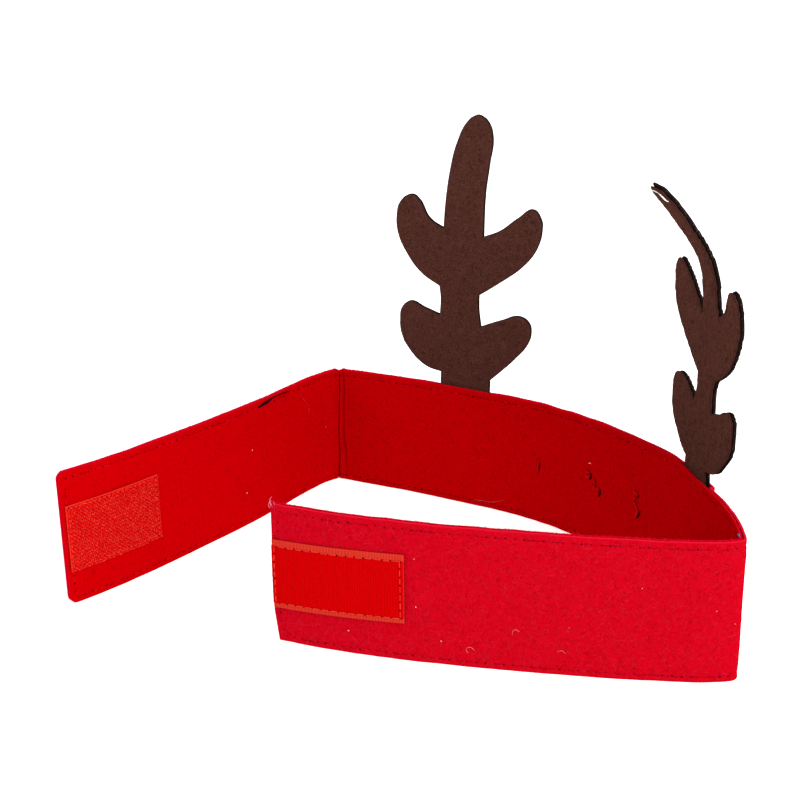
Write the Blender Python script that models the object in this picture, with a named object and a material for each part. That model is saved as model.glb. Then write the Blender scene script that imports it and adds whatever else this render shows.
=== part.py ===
"""Reindeer antler headband of felt, unfastened and standing open on its lower edge.

The band is two felt plies sewn together. It folds at a sharp crease and at a rounded corner, and its two
ends stay apart. A hook patch is sewn on the inside of one end and a loop patch on the outside of the other.
Each antler is brown felt glued on a dark core, and its stem is tucked between the plies.

Every piece is first made flat, as it is cut: x runs along the band, y out from the line between the plies
and z up from the lower edge. Then each of its points is carried to where it lies on the standing band.
"""

import math
from collections import namedtuple

import bmesh
import bpy
import numpy as np
from mathutils import Matrix, Vector

MM = 0.001

# Band
BAND_HEIGHT = 60.0 * MM
LEFT_PANEL = 167.0 * MM  # hook end to crease
BACK_PANEL = 262.0 * MM  # crease to corner, across the back of the head
FRONT_PANEL = 181.0 * MM  # corner to loop end
INNER_FELT = 1.2 * MM
OUTER_FELT = 1.2 * MM
TOUCH_GAP = 0.3 * MM  # between pieces that are sewn or glued face to face
CREASE_RADIUS = 1.9 * MM  # of the line between the plies
CORNER_RADIUS = 3.0 * MM
END_CORNER = 3.5 * MM  # rounding of the hook end's two corners
END_ZONE = 25.0 * MM  # stretch of the loop end that its slanted cut pulls in
END_SLANT = 2.0 * MM  # how far the loop end's lower corner is cut back

# Hook and loop patches
HOOK_LENGTH = 47.0 * MM
HOOK_HEIGHT = 30.0 * MM
HOOK_TAPE = 1.2 * MM
HOOK_INSET = 1.6 * MM  # from the band's end
LOOP_LENGTH = 54.5 * MM
LOOP_HEIGHT = 29.7 * MM
LOOP_TAPE = 1.3 * MM
LOOP_INSET = 0.4 * MM
LOOP_RISE = 1.6 * MM  # how much higher its inner end is sewn

# Antlers
ANTLER_HEIGHT = 129.0 * MM  # above the band's top edge
ANTLER_HALF_WIDTH = 36.0 * MM
ANTLER_FELT = 1.2 * MM
ANTLER_CORE = 1.4 * MM
ANTLER_SPACING = 138.4 * MM  # between the two middles, along the band
ANTLER_SHIFT = -5.9 * MM  # of the pair, from the band's middle towards the loop end
STEM_DEPTH = 22.0 * MM  # tucked between the plies
STEM_CLEARANCE = 1.5 * MM  # from the stem's edges to where the pocket starts to close
POCKET_BLEND = 6.0 * MM  # over which the parted plies come together again
RIGHT_CURL_RADIUS = 65.0 * MM  # of the right antler's top tine, which bends over the head
RIGHT_CURL_START = 68.4 * MM  # above the band's top edge
RIGHT_TURN = -4.5  # degrees that it twists just above the band's top edge
RIGHT_TURN_RISE = 12.0 * MM  # height over which it does so
RIGHT_TILT = 3.8  # degrees that it tips sideways in its own plane, towards the crease
RIGHT_LEAN = -1.0  # degrees that it leans in over the head
RIGHT_TWIST = 12.0  # degrees that its top tine twists by towards its tip
RIGHT_TWIST_START = 88.0 * MM  # above the band's top edge
RIGHT_SINK = 3.5 * MM  # how much deeper it is tucked than the left one

# Facets
FACET_TURN = 6.0  # degrees that the band may turn in one facet
FACET_LENGTH = 40.0 * MM
BEND_FACET = 6.0 * MM  # of a curled antler, up its height
TURN_FACETS = 3  # of its twist
PATH_STEP = 0.1 * MM

PANELS = {"left": LEFT_PANEL, "back": BACK_PANEL, "front": FRONT_PANEL}
FOLD_RADII = (CREASE_RADIUS, CORNER_RADIUS)

# The band's run seen from above: which way it heads, in degrees from +x, at shares of each panel's length.
BENDS = (
    # panel, share, heading
    ("left", 0.00, 41.0),
    ("left", 0.25, 49.0),
    ("left", 0.55, 51.0),
    ("left", 0.80, 56.5),
    ("left", 0.93, 51.0),
    ("left", 1.00, 33.0),
    ("back", 0.00, -23.5),
    ("back", 0.12, -23.5),
    ("back", 0.25, -27.5),
    ("back", 0.42, -40.5),
    ("back", 0.55, -51.0),
    ("back", 0.66, -55.5),
    ("back", 0.77, -74.7),
    ("back", 0.86, -75.0),
    ("back", 1.00, -93.0),
    ("front", 0.00, -169.5),
    ("front", 0.08, -183.5),
    ("front", 0.30, -188.0),
    ("front", 0.60, -191.0),
    ("front", 0.80, -195.5),
    ("front", 1.00, -203.5),
)

# How far the top edge leans over, as shares of the band's height.
LEANS = (
    # panel, share, towards +x, towards +y
    ("left", 0.00, -0.023, 0.014),
    ("left", 1.00, 0.019, -0.117),
    ("back", 0.00, 0.019, -0.117),
    ("back", 1.00, -0.012, 0.009),
    ("front", 0.00, -0.012, 0.009),
    ("front", 1.00, -0.010, 0.022),
)

# The loop end's cut: how much of the slant it is pulled in, at shares of the band's height.
END_CUT = (
    # height, pulled in
    (0.00, 1.00),
    (0.22, 0.08),
    (0.55, 0.00),
    (1.00, 0.10),
)

# Each antler's outline from its foot to its tip, seen from inside the band. Reaches are shares of the half
# width, out from the stem's middle, and heights are shares of the antler's height. The two were cut from one
# pattern, but not quite alike.
LEFT_OUTLINE = (
    # place, kind, left reach, left height, right reach, right height
    ("stem", "corner", 0.355, 0.045, 0.318, 0.040),
    ("lower belly", "round", 0.565, 0.057, 0.462, 0.082),
    ("lower belly", "round", 0.785, 0.104, 0.637, 0.137),
    ("lower side", "round", 0.920, 0.164, 0.812, 0.207),
    ("lower side", "round", 0.950, 0.223, 0.847, 0.254),
    ("lower shoulder", "round", 0.925, 0.270, 0.812, 0.286),
    ("lower tip", "round", 0.815, 0.298, 0.687, 0.305),
    ("lower crown", "round", 0.620, 0.282, 0.437, 0.279),
    ("notch", "corner", 0.390, 0.264, 0.167, 0.243),
    ("neck", "round", 0.385, 0.333, 0.132, 0.310),
    ("upper root", "corner", 0.405, 0.374, 0.127, 0.358),
    ("upper belly", "round", 0.655, 0.412, 0.417, 0.420),
    ("upper belly", "round", 0.880, 0.484, 0.692, 0.487),
    ("upper side", "round", 0.995, 0.550, 0.867, 0.560),
    ("upper side", "round", 1.015, 0.616, 0.922, 0.636),
    ("upper shoulder", "round", 0.970, 0.665, 0.902, 0.667),
    ("upper tip", "round", 0.820, 0.696, 0.792, 0.698),
    ("upper crown", "round", 0.720, 0.682, 0.627, 0.667),
    ("upper crown", "round", 0.570, 0.618, 0.362, 0.605),
    ("valley", "corner", 0.370, 0.588, 0.162, 0.577),
    ("top tine", "round", 0.350, 0.689, 0.167, 0.731),
    ("top tine", "round", 0.295, 0.812, 0.207, 0.837),
    ("top shoulder", "round", 0.222, 0.898, 0.237, 0.930),
    ("top crown", "round", 0.086, 0.978, 0.172, 0.980),
    ("tip", "round", -0.015, 1.000, 0.065, 1.000),
)
RIGHT_OUTLINE = (
    # place, kind, left reach, left height, right reach, right height
    ("stem", "corner", 0.280, 0.062, 0.262, 0.060),
    ("lower belly", "round", 0.420, 0.080, 0.520, 0.078),
    ("lower belly", "round", 0.600, 0.109, 0.778, 0.136),
    ("lower side", "round", 0.790, 0.152, 0.900, 0.175),
    ("lower side", "round", 0.870, 0.205, 0.944, 0.215),
    ("lower shoulder", "round", 0.864, 0.262, 0.935, 0.283),
    ("lower tip", "round", 0.795, 0.298, 0.860, 0.303),
    ("lower crown", "round", 0.686, 0.309, 0.758, 0.303),
    ("lower crown", "round", 0.494, 0.302, 0.560, 0.278),
    ("notch", "corner", 0.192, 0.255, 0.330, 0.258),
    ("neck", "round", 0.125, 0.300, 0.315, 0.310),
    ("upper root", "corner", 0.115, 0.358, 0.369, 0.361),
    ("upper belly", "round", 0.414, 0.412, 0.736, 0.430),
    ("upper belly", "round", 0.678, 0.466, 0.914, 0.504),
    ("upper side", "round", 0.905, 0.527, 0.965, 0.550),
    ("upper side", "round", 0.983, 0.602, 0.990, 0.603),
    ("upper shoulder", "round", 0.953, 0.636, 0.990, 0.640),
    ("upper tip", "round", 0.880, 0.662, 0.917, 0.679),
    ("upper crown", "round", 0.753, 0.680, 0.800, 0.677),
    ("upper crown", "round", 0.620, 0.665, 0.690, 0.650),
    ("upper crown", "round", 0.289, 0.590, 0.553, 0.596),
    ("valley", "corner", 0.055, 0.548, 0.385, 0.568),
    ("top tine", "round", 0.075, 0.620, 0.325, 0.614),
    ("top tine", "round", 0.048, 0.676, 0.363, 0.668),
    ("top tine", "round", 0.050, 0.730, 0.375, 0.725),
    ("top tine", "round", 0.140, 0.784, 0.290, 0.783),
    ("top tine", "round", 0.212, 0.835, 0.200, 0.834),
    ("top shoulder", "round", 0.200, 0.886, 0.175, 0.890),
    ("top crown", "round", 0.108, 0.952, 0.235, 0.965),
    ("tip", "round", -0.040, 1.006, 0.205, 1.022),
)

CURVE_STEPS = 3  # facets between two points of the outline


def turn_length(radius, degrees):
    """Length of an arc of this radius that turns by this angle."""
    return radius * math.radians(abs(degrees))


def panel_starts():
    """Length along the band at which each panel starts, with the two folds between them."""
    starts = {}
    reached = 0.0
    radii = list(FOLD_RADII) + [0.0]
    names = list(PANELS)
    for name, radius in zip(names, radii):
        starts[name] = reached
        reached += PANELS[name]
        here = [heading for panel, _, heading in BENDS if panel == name][-1]
        following = names[names.index(name) + 1:]
        if following:
            there = [heading for panel, _, heading in BENDS if panel == following[0]][0]
            reached += turn_length(radius, there - here)
    return starts, reached


STARTS, BAND_LENGTH = panel_starts()

BAND_MIDDLE = BAND_LENGTH / 2 + ANTLER_SHIFT
Antler = namedtuple("Antler", "middle outline tilt sink bent")
ANTLERS = {
    "left": Antler(BAND_MIDDLE - ANTLER_SPACING / 2, LEFT_OUTLINE, 0.0, 0.0, False),
    "right": Antler(BAND_MIDDLE + ANTLER_SPACING / 2, RIGHT_OUTLINE, RIGHT_TILT, RIGHT_SINK, True),
}
POCKET_OPENING = ANTLER_FELT + ANTLER_CORE + 2 * TOUCH_GAP


def pocket_half(antler):
    """Half the length of band that lies over this antler's stem."""
    stem = antler.outline[0]
    return ANTLER_HALF_WIDTH * max(stem[2], stem[4]) + STEM_CLEARANCE


def table_along(table, column):
    """A table's column at lengths along the band, held steady across each stiff antler stem."""
    lengths = np.array([STARTS[row[0]] + row[1] * PANELS[row[0]] for row in table])
    values = np.array([row[column] for row in table])
    for antler in ANTLERS.values():
        steady = np.interp(antler.middle, lengths, values)
        low, high = antler.middle - pocket_half(antler), antler.middle + pocket_half(antler)
        keep = (lengths < low) | (lengths > high)
        lengths = np.concatenate((lengths[keep], (low, high)))
        values = np.concatenate((values[keep], (steady, steady)))
        order = np.argsort(lengths)
        lengths, values = lengths[order], values[order]
    return lengths, values


BEND_LENGTHS, BEND_HEADINGS = table_along(BENDS, 2)
LEAN_LENGTHS, LEAN_X = table_along(LEANS, 2)
_, LEAN_Y = table_along(LEANS, 3)


def walk_band():
    """Where the line between the plies runs on the ground, a small step at a time."""
    lengths = np.arange(0.0, BAND_LENGTH + 2 * PATH_STEP, PATH_STEP)
    headings = np.radians(np.interp(lengths + PATH_STEP / 2, BEND_LENGTHS, BEND_HEADINGS))
    x = np.concatenate(((0.0,), np.cumsum(np.cos(headings) * PATH_STEP)[:-1]))
    y = np.concatenate(((0.0,), np.cumsum(np.sin(headings) * PATH_STEP)[:-1]))
    return lengths, x, y


WALK, WALK_X, WALK_Y = walk_band()


def directions(along):
    """Unit vectors along the band, out from it and up its leaning face, at this length along it."""
    heading = math.radians(np.interp(along, BEND_LENGTHS, BEND_HEADINGS))
    lean_x = np.interp(along, LEAN_LENGTHS, LEAN_X)
    lean_y = np.interp(along, LEAN_LENGTHS, LEAN_Y)
    rise = math.sqrt(1.0 - lean_x ** 2 - lean_y ** 2)
    forward = Vector((math.cos(heading), math.sin(heading), 0.0))
    outward = Vector((-math.sin(heading), math.cos(heading), 0.0))
    return forward, outward, Vector((lean_x, lean_y, rise))


def on_band(along, out, up):
    """Where a flat point lies on the standing band."""
    _, outward, upward = directions(along)
    foot = Vector((np.interp(along, WALK, WALK_X), np.interp(along, WALK, WALK_Y), 0.0))
    return foot + outward * out + upward * up


def eased(share):
    """A smooth step from 0 to 1."""
    share = min(1.0, max(0.0, share))
    return share * share * (3.0 - 2.0 * share)


def pocket_foot(antler):
    """Height above the lower edge at which the plies start to close under this antler's stem."""
    return BAND_HEIGHT - STEM_DEPTH - antler.sink - STEM_CLEARANCE


def pocket(along, up):
    """How far the outer ply is parted from the inner one, round the antler stems."""
    parted = 0.0
    for antler in ANTLERS.values():
        beside = eased(1.0 - (abs(along - antler.middle) - pocket_half(antler)) / POCKET_BLEND)
        below = eased(1.0 - (pocket_foot(antler) - up) / POCKET_BLEND)
        parted = max(parted, POCKET_OPENING * beside * below)
    return parted


def trimmed(along, up):
    """Pulls the loop end in to its slanted cut."""
    share = (along - (BAND_LENGTH - END_ZONE)) / END_ZONE
    pulled = np.interp(up / BAND_HEIGHT, [row[0] for row in END_CUT], [row[1] for row in END_CUT])
    return along - END_SLANT * pulled * max(0.0, share)


def band_stations():
    """Lengths along the band at which its felt is bent."""
    stations = []
    for start, end, here, there in zip(BEND_LENGTHS, BEND_LENGTHS[1:], BEND_HEADINGS, BEND_HEADINGS[1:]):
        facets = max(1, math.ceil(abs(there - here) / FACET_TURN), math.ceil((end - start) / FACET_LENGTH))
        stations += [start + (end - start) * step / facets for step in range(facets)]
    return stations + [BAND_LENGTH]


def pocket_stations():
    """Lengths along the band at which the outer ply swells over the stems."""
    stations = []
    for antler in ANTLERS.values():
        for side in (-1, 1):
            swell = [pocket_half(antler) + POCKET_BLEND * step / 4 for step in range(5)]
            stations += [antler.middle + side * reach for reach in swell]
    return stations


def pocket_heights():
    """Heights at which the outer ply swells over the stems."""
    return [pocket_foot(antler) - POCKET_BLEND * step / 3 for antler in ANTLERS.values() for step in range(4)]


def end_heights():
    """Heights at which the loop end's cut changes direction."""
    return [BAND_HEIGHT * row[0] for row in END_CUT[1:-1]]


def cut_across(mesh, place, normal):
    """Cuts every face of a mesh along a plane."""
    geometry = mesh.verts[:] + mesh.edges[:] + mesh.faces[:]
    bmesh.ops.bisect_plane(mesh, geom=geometry, dist=MM * 0.001, plane_co=place, plane_no=normal)


def felt_strip(low, high, stations, heights, rounded=0.0):
    """A flat slab between two opposite corners, cut across where it will bend."""
    mesh = bmesh.new()
    bmesh.ops.create_cube(mesh, size=1.0)
    low, high = Vector(low), Vector(high)
    size = high - low
    for vertex in mesh.verts:
        vertex.co = Vector([low[i] + size[i] * (vertex.co[i] + 0.5) for i in range(3)])
    if rounded:
        corners = [
            edge for edge in mesh.edges
            if all(abs(vertex.co.x - low.x) < MM * 0.001 for vertex in edge.verts)
            and abs(edge.verts[0].co.z - edge.verts[1].co.z) < MM * 0.001
        ]
        bmesh.ops.bevel(mesh, geom=corners, offset=rounded, segments=3, profile=0.5, affect="EDGES")
    for along in stations:
        if low.x + rounded < along < high.x - MM * 0.1:
            cut_across(mesh, (along, 0, 0), (1, 0, 0))
    for up in heights:
        if low.z + rounded < up < high.z - rounded:
            cut_across(mesh, (0, 0, up), (0, 0, 1))
    return mesh


def finish(mesh, name, material, carry):
    """Carries a flat mesh to its place and makes it an object of the headband."""
    for vertex in mesh.verts:
        vertex.co = carry(vertex.co)
    data = bpy.data.meshes.new(name)
    mesh.to_mesh(data)
    mesh.free()
    data.materials.append(material)
    piece = bpy.data.objects.new(name, data)
    bpy.data.collections["reindeer_antler_headband"].objects.link(piece)
    return piece


def felt(name, colour, roughness):
    """A cloth finish: the colour of the felt, rough and not metallic."""
    material = bpy.data.materials.new(name)
    material.use_nodes = True
    shader = material.node_tree.nodes["Principled BSDF"]
    shader.inputs["Base Color"].default_value = (*colour, 1.0)
    shader.inputs["Roughness"].default_value = roughness
    shader.inputs["Metallic"].default_value = 0.0
    return material


def inner_band():
    """The ply against the head."""
    mesh = felt_strip(
        (0.0, -TOUCH_GAP / 2 - INNER_FELT, 0.0),
        (BAND_LENGTH, -TOUCH_GAP / 2, BAND_HEIGHT),
        band_stations(),
        end_heights(),
        END_CORNER,
    )

    def carry(point):
        return on_band(trimmed(point.x, point.z), point.y, point.z)

    return finish(mesh, "inner_band", felt("red_felt_inner", (0.40, 0.002, 0.008), 0.95), carry)


def outer_band():
    """The ply that shows, parted from the inner one where it passes over the antler stems."""
    mesh = felt_strip(
        (0.0, TOUCH_GAP / 2, 0.0),
        (BAND_LENGTH, TOUCH_GAP / 2 + OUTER_FELT, BAND_HEIGHT),
        band_stations() + pocket_stations(),
        end_heights() + pocket_heights(),
        END_CORNER,
    )

    def carry(point):
        along = trimmed(point.x, point.z)
        return on_band(along, point.y + pocket(along, point.z), point.z)

    return finish(mesh, "outer_band", felt("red_felt_outer", (0.58, 0.003, 0.016), 0.95), carry)


def hook_patch():
    """Hook tape on the inside of the left end."""
    face = -TOUCH_GAP / 2 - INNER_FELT - TOUCH_GAP
    low = BAND_HEIGHT / 2 - HOOK_HEIGHT / 2
    mesh = felt_strip(
        (HOOK_INSET, face - HOOK_TAPE, low),
        (HOOK_INSET + HOOK_LENGTH, face, low + HOOK_HEIGHT),
        band_stations(),
        (),
    )

    def carry(point):
        return on_band(point.x, point.y, point.z)

    return finish(mesh, "hook_patch", felt("hook_tape", (0.70, 0.012, 0.010), 0.6), carry)


def loop_patch():
    """Loop tape on the outside of the front end."""
    face = TOUCH_GAP / 2 + OUTER_FELT + TOUCH_GAP
    low = BAND_HEIGHT / 2 - LOOP_HEIGHT / 2
    end = BAND_LENGTH - LOOP_INSET
    mesh = felt_strip(
        (end - LOOP_LENGTH, face, low),
        (end, face + LOOP_TAPE, low + LOOP_HEIGHT),
        band_stations(),
        end_heights(),
    )

    def carry(point):
        up = point.z + LOOP_RISE * (end - point.x) / LOOP_LENGTH
        return on_band(trimmed(point.x, up), point.y, up)

    return finish(mesh, "loop_patch", felt("loop_tape", (0.75, 0.006, 0.006), 0.8), carry)


def outline_points(outline):
    """The antler's outline, round from the left foot over the tip to the right foot."""
    left = [(-row[2] * ANTLER_HALF_WIDTH, row[3] * ANTLER_HEIGHT, row[1]) for row in outline]
    right = [(row[4] * ANTLER_HALF_WIDTH, row[5] * ANTLER_HEIGHT, row[1]) for row in outline]
    foot_left = (left[0][0], -STEM_DEPTH, "corner")
    foot_right = (right[0][0], -STEM_DEPTH, "corner")
    return [foot_left] + left + right[::-1] + [foot_right]


def antler_sheet(thickness, antler):
    """A flat antler of this thickness in the x y plane, as a mesh."""
    curve = bpy.data.curves.new("outline", "CURVE")
    curve.dimensions = "2D"
    curve.fill_mode = "BOTH"
    curve.extrude = thickness / 2
    curve.resolution_u = CURVE_STEPS
    points = outline_points(antler.outline)
    spline = curve.splines.new("BEZIER")
    spline.use_cyclic_u = True
    spline.bezier_points.add(len(points) - 1)
    for target, (reach, height, kind) in zip(spline.bezier_points, points):
        target.co = (reach, height, 0.0)
        handle = "VECTOR" if kind == "corner" else "AUTO"
        target.handle_left_type = handle
        target.handle_right_type = handle
    guide = bpy.data.objects.new("outline", curve)
    bpy.context.scene.collection.objects.link(guide)
    bpy.context.view_layer.update()
    flat = bpy.data.meshes.new_from_object(guide.evaluated_get(bpy.context.evaluated_depsgraph_get()))
    mesh = bmesh.new()
    mesh.from_mesh(flat)
    bmesh.ops.remove_doubles(mesh, verts=mesh.verts[:], dist=MM * 0.001)
    bmesh.ops.dissolve_limit(mesh, angle_limit=math.radians(0.5), verts=mesh.verts[:], edges=mesh.edges[:])
    bmesh.ops.recalc_face_normals(mesh, faces=mesh.faces[:])
    tipped = Matrix.Translation((0.0, -antler.sink, 0.0)) @ Matrix.Rotation(math.radians(antler.tilt), 4, "Z")
    bmesh.ops.transform(mesh, matrix=tipped, verts=mesh.verts[:])
    bpy.data.objects.remove(guide)
    bpy.data.curves.remove(curve)
    bpy.data.meshes.remove(flat)
    return mesh


def bend_heights():
    """Heights on the right antler at which it is bent."""
    curls = math.ceil((ANTLER_HEIGHT - RIGHT_CURL_START) / BEND_FACET)
    heights = [RIGHT_TURN_RISE * step / TURN_FACETS for step in range(TURN_FACETS + 1)]
    heights += [RIGHT_CURL_START + (ANTLER_HEIGHT - RIGHT_CURL_START) * step / curls for step in range(curls)]
    return heights


def twisted(reach, out, height):
    """Where a point of the right antler's top tine goes as the tine twists about its own middle."""
    share = (height - RIGHT_TWIST_START) / (ANTLER_HEIGHT - RIGHT_TWIST_START)
    turn = math.radians(RIGHT_TWIST) * min(max(share, 0.0), 1.0)
    return reach * math.cos(turn) - out * math.sin(turn), out * math.cos(turn) + reach * math.sin(turn)


def bent_over(out, height):
    """Where a point of the right antler's side view goes: how far out and how far up."""
    if height > RIGHT_CURL_START:
        curl = (height - RIGHT_CURL_START) / RIGHT_CURL_RADIUS
        spoke = RIGHT_CURL_RADIUS + out
        out, height = spoke * math.cos(curl) - RIGHT_CURL_RADIUS, RIGHT_CURL_START + spoke * math.sin(curl)
    lean = math.radians(RIGHT_LEAN) * eased(height / RIGHT_TURN_RISE)
    return out * math.cos(lean) - height * math.sin(lean), height * math.cos(lean) + out * math.sin(lean)


def antler_layer(side, layer, thickness, near, material):
    """One layer of an antler, its nearer face this far out from the line between the plies."""
    antler = ANTLERS[side]
    mesh = antler_sheet(thickness, antler)
    if antler.bent:
        for height in bend_heights():
            cut_across(mesh, (0, height, 0), (0, 1, 0))
    forward, outward, upward = directions(antler.middle)
    root = on_band(antler.middle, 0.0, BAND_HEIGHT)

    def carry(point):
        reach, height, out = point.x, point.y, near + thickness / 2 - point.z
        turned = 0.0
        if antler.bent:
            turned = math.radians(RIGHT_TURN) * eased(height / RIGHT_TURN_RISE)
            reach, out = twisted(reach, out, height)
            out, height = bent_over(out, height)
        across = forward * math.cos(turned) + outward * math.sin(turned)
        facing = outward * math.cos(turned) - forward * math.sin(turned)
        return root + across * reach + upward * height + facing * out

    return finish(mesh, side + "_antler_" + layer, material, carry)


def stand_on_origin(pieces):
    """Moves the whole headband so that the middle of its outline on the ground is the origin."""
    places = np.array([vertex.co for piece in pieces for vertex in piece.data.vertices])
    middle = (places.min(axis=0) + places.max(axis=0)) / 2
    for piece in pieces:
        piece.data.transform(Matrix.Translation((-middle[0], -middle[1], 0.0)))


def main():
    for old in list(bpy.data.objects):
        bpy.data.objects.remove(old)
    parts = bpy.data.collections.new("reindeer_antler_headband")
    bpy.context.scene.collection.children.link(parts)
    inner_band()
    outer_band()
    hook_patch()
    loop_patch()
    brown = felt("brown_felt", (0.075, 0.022, 0.015), 0.95)
    dark = felt("dark_core", (0.012, 0.010, 0.010), 0.85)
    felt_near = TOUCH_GAP / 2
    core_near = felt_near + ANTLER_FELT + TOUCH_GAP
    for side in ANTLERS:
        antler_layer(side, "felt", ANTLER_FELT, felt_near, brown)
        antler_layer(side, "core", ANTLER_CORE, core_near, dark)
    stand_on_origin(parts.objects)


main()
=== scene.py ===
"""Looks of the reindeer antler headband: wool felt plies and antlers, sewing thread, hook and loop tape.

Every felt piece is laid out flat as it was cut, in metres along the band and up from its lower edge, and
then each of its points is carried to where it lies on the standing band.
"""

import math
from collections import namedtuple

import bmesh
import bpy
import numpy as np
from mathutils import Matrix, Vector
from mathutils.geometry import interpolate_bezier


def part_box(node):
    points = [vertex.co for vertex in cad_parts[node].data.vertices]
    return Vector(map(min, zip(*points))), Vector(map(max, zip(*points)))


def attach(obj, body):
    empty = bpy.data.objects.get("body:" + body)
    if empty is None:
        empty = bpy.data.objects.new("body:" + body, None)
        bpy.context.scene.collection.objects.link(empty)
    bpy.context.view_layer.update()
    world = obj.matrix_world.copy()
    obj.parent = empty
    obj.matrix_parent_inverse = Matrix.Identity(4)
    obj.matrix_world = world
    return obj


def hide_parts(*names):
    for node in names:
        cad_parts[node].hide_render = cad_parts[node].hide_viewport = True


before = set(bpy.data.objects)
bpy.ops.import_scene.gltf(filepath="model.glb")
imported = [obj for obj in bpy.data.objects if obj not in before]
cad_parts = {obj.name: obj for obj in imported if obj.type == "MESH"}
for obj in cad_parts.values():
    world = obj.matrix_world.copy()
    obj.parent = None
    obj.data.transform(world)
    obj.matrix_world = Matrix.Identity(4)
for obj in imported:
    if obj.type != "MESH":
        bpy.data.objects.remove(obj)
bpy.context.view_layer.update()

MM = 0.001
PHOTO_SIZE = 800

# Camera
FOCAL_PIXELS = 1700.0
SENSOR_WIDTH = 36.0
CAMERA_PITCH = 22.10  # degrees below level
CAMERA_PLACE = (4.94 * MM, -661.2 * MM, 347.4 * MM)

# Band
BAND_HEIGHT = 60.0 * MM
LEFT_PANEL = 167.0 * MM
BACK_PANEL = 262.0 * MM
FRONT_PANEL = 181.0 * MM
FELT = 1.2 * MM
TOUCH_GAP = 0.3 * MM
CREASE_RADIUS = 1.9 * MM
CORNER_RADIUS = 3.0 * MM
END_CORNER = 3.5 * MM
END_ZONE = 25.0 * MM
END_SLANT = 2.0 * MM
PATH_STEP = 0.1 * MM

# Hook and loop patches
HOOK_LENGTH = 47.0 * MM
HOOK_HEIGHT = 30.0 * MM
HOOK_TAPE = 1.2 * MM
HOOK_GROUND = 0.55 * MM  # thickness of its weave under the hooks
HOOK_INSET = 1.6 * MM
LOOP_LENGTH = 54.5 * MM
LOOP_HEIGHT = 29.7 * MM
LOOP_TAPE = 1.3 * MM
LOOP_INSET = 0.4 * MM
LOOP_RISE = 1.6 * MM
LOOP_SELVAGE = 2.2 * MM
HOOK_PITCH = 1.0 * MM
HOOK_ROW = 0.8 * MM
PATCH_STITCH = {"hook": 2.3 * MM, "loop": 3.6 * MM}
PATCH_SEAM = {"hook": 1.3 * MM, "loop": 2.5 * MM}  # in from the patch's edge

# Antlers
ANTLER_HEIGHT = 129.0 * MM
ANTLER_HALF_WIDTH = 36.0 * MM
ANTLER_FELT = 1.2 * MM
ANTLER_CORE = 1.4 * MM
ANTLER_SPACING = 138.4 * MM
ANTLER_SHIFT = -5.9 * MM
STEM_DEPTH = 22.0 * MM
STEM_CLEARANCE = 1.5 * MM
STEM_HUG = 0.5 * MM  # beside the stem, where the soft felt hugs it closer than the stem's clearance
POCKET_BLEND = 3.0 * MM
RIGHT_CURL_RADIUS = 65.0 * MM
RIGHT_CURL_START = 68.4 * MM
RIGHT_TURN = -4.5
RIGHT_TURN_RISE = 12.0 * MM
RIGHT_TILT = 3.8
RIGHT_LEAN = -1.0
RIGHT_TWIST = 12.0
RIGHT_TWIST_START = 88.0 * MM
RIGHT_SINK = 3.5 * MM
CORE_SHOWN = {"left": 1.2 * MM, "right": 1.5 * MM}  # thickness of the core that its frayed edge shows

# Felt surface
FELT_CELL = 0.9 * MM  # of the mesh, along the band
FELT_ROW = 1.5 * MM  # and up it
EDGE_ROUND = 0.5 * MM  # rounding of a cut edge
ANTLER_CELL = 1.3 * MM

# Sewing
STITCH = 3.6 * MM  # from one needle hole to the next
THREAD = 0.17 * MM  # radius
TOP_SEAM = 3.1 * MM  # below the top edge
BOTTOM_SEAM = 2.4 * MM  # above the lower edge
END_SEAM = 2.7 * MM  # in from each end

# Loose fibres are 0.02 to 0.03 mm thick in wool; these are drawn thicker so that they show.
FIBRE = 0.045 * MM  # radius
FRONT_FIBRES = 9400
REAR_FIBRES = 4400
INNER_FIBRES = 4000
ANTLER_FIBRES = 3600
TOP_EDGE_FIBRES = 2200

PANELS = {"left": LEFT_PANEL, "back": BACK_PANEL, "front": FRONT_PANEL}
FOLD_RADII = (CREASE_RADIUS, CORNER_RADIUS)

# The band's run seen from above: which way it heads, in degrees from +x, at shares of each panel's length.
BENDS = (
    # panel, share, heading
    ("left", 0.00, 41.0),
    ("left", 0.25, 49.0),
    ("left", 0.55, 51.0),
    ("left", 0.80, 56.5),
    ("left", 0.93, 51.0),
    ("left", 1.00, 33.0),
    ("back", 0.00, -23.5),
    ("back", 0.12, -23.5),
    ("back", 0.25, -27.5),
    ("back", 0.42, -40.5),
    ("back", 0.55, -51.0),
    ("back", 0.66, -55.5),
    ("back", 0.77, -74.7),
    ("back", 0.86, -75.0),
    ("back", 1.00, -93.0),
    ("front", 0.00, -169.5),
    ("front", 0.08, -183.5),
    ("front", 0.30, -188.0),
    ("front", 0.60, -191.0),
    ("front", 0.80, -195.5),
    ("front", 1.00, -203.5),
)

# How far the top edge leans over, as shares of the band's height.
LEANS = (
    # panel, share, towards +x, towards +y
    ("left", 0.00, -0.023, 0.014),
    ("left", 1.00, 0.019, -0.117),
    ("back", 0.00, 0.019, -0.117),
    ("back", 1.00, -0.012, 0.009),
    ("front", 0.00, -0.012, 0.009),
    ("front", 1.00, -0.010, 0.022),
)

# The loop end's cut: how much of the slant it is pulled in, at shares of the band's height.
END_CUT = (
    # height, pulled in
    (0.00, 1.00),
    (0.22, 0.08),
    (0.55, 0.00),
    (1.00, 0.10),
)

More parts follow.
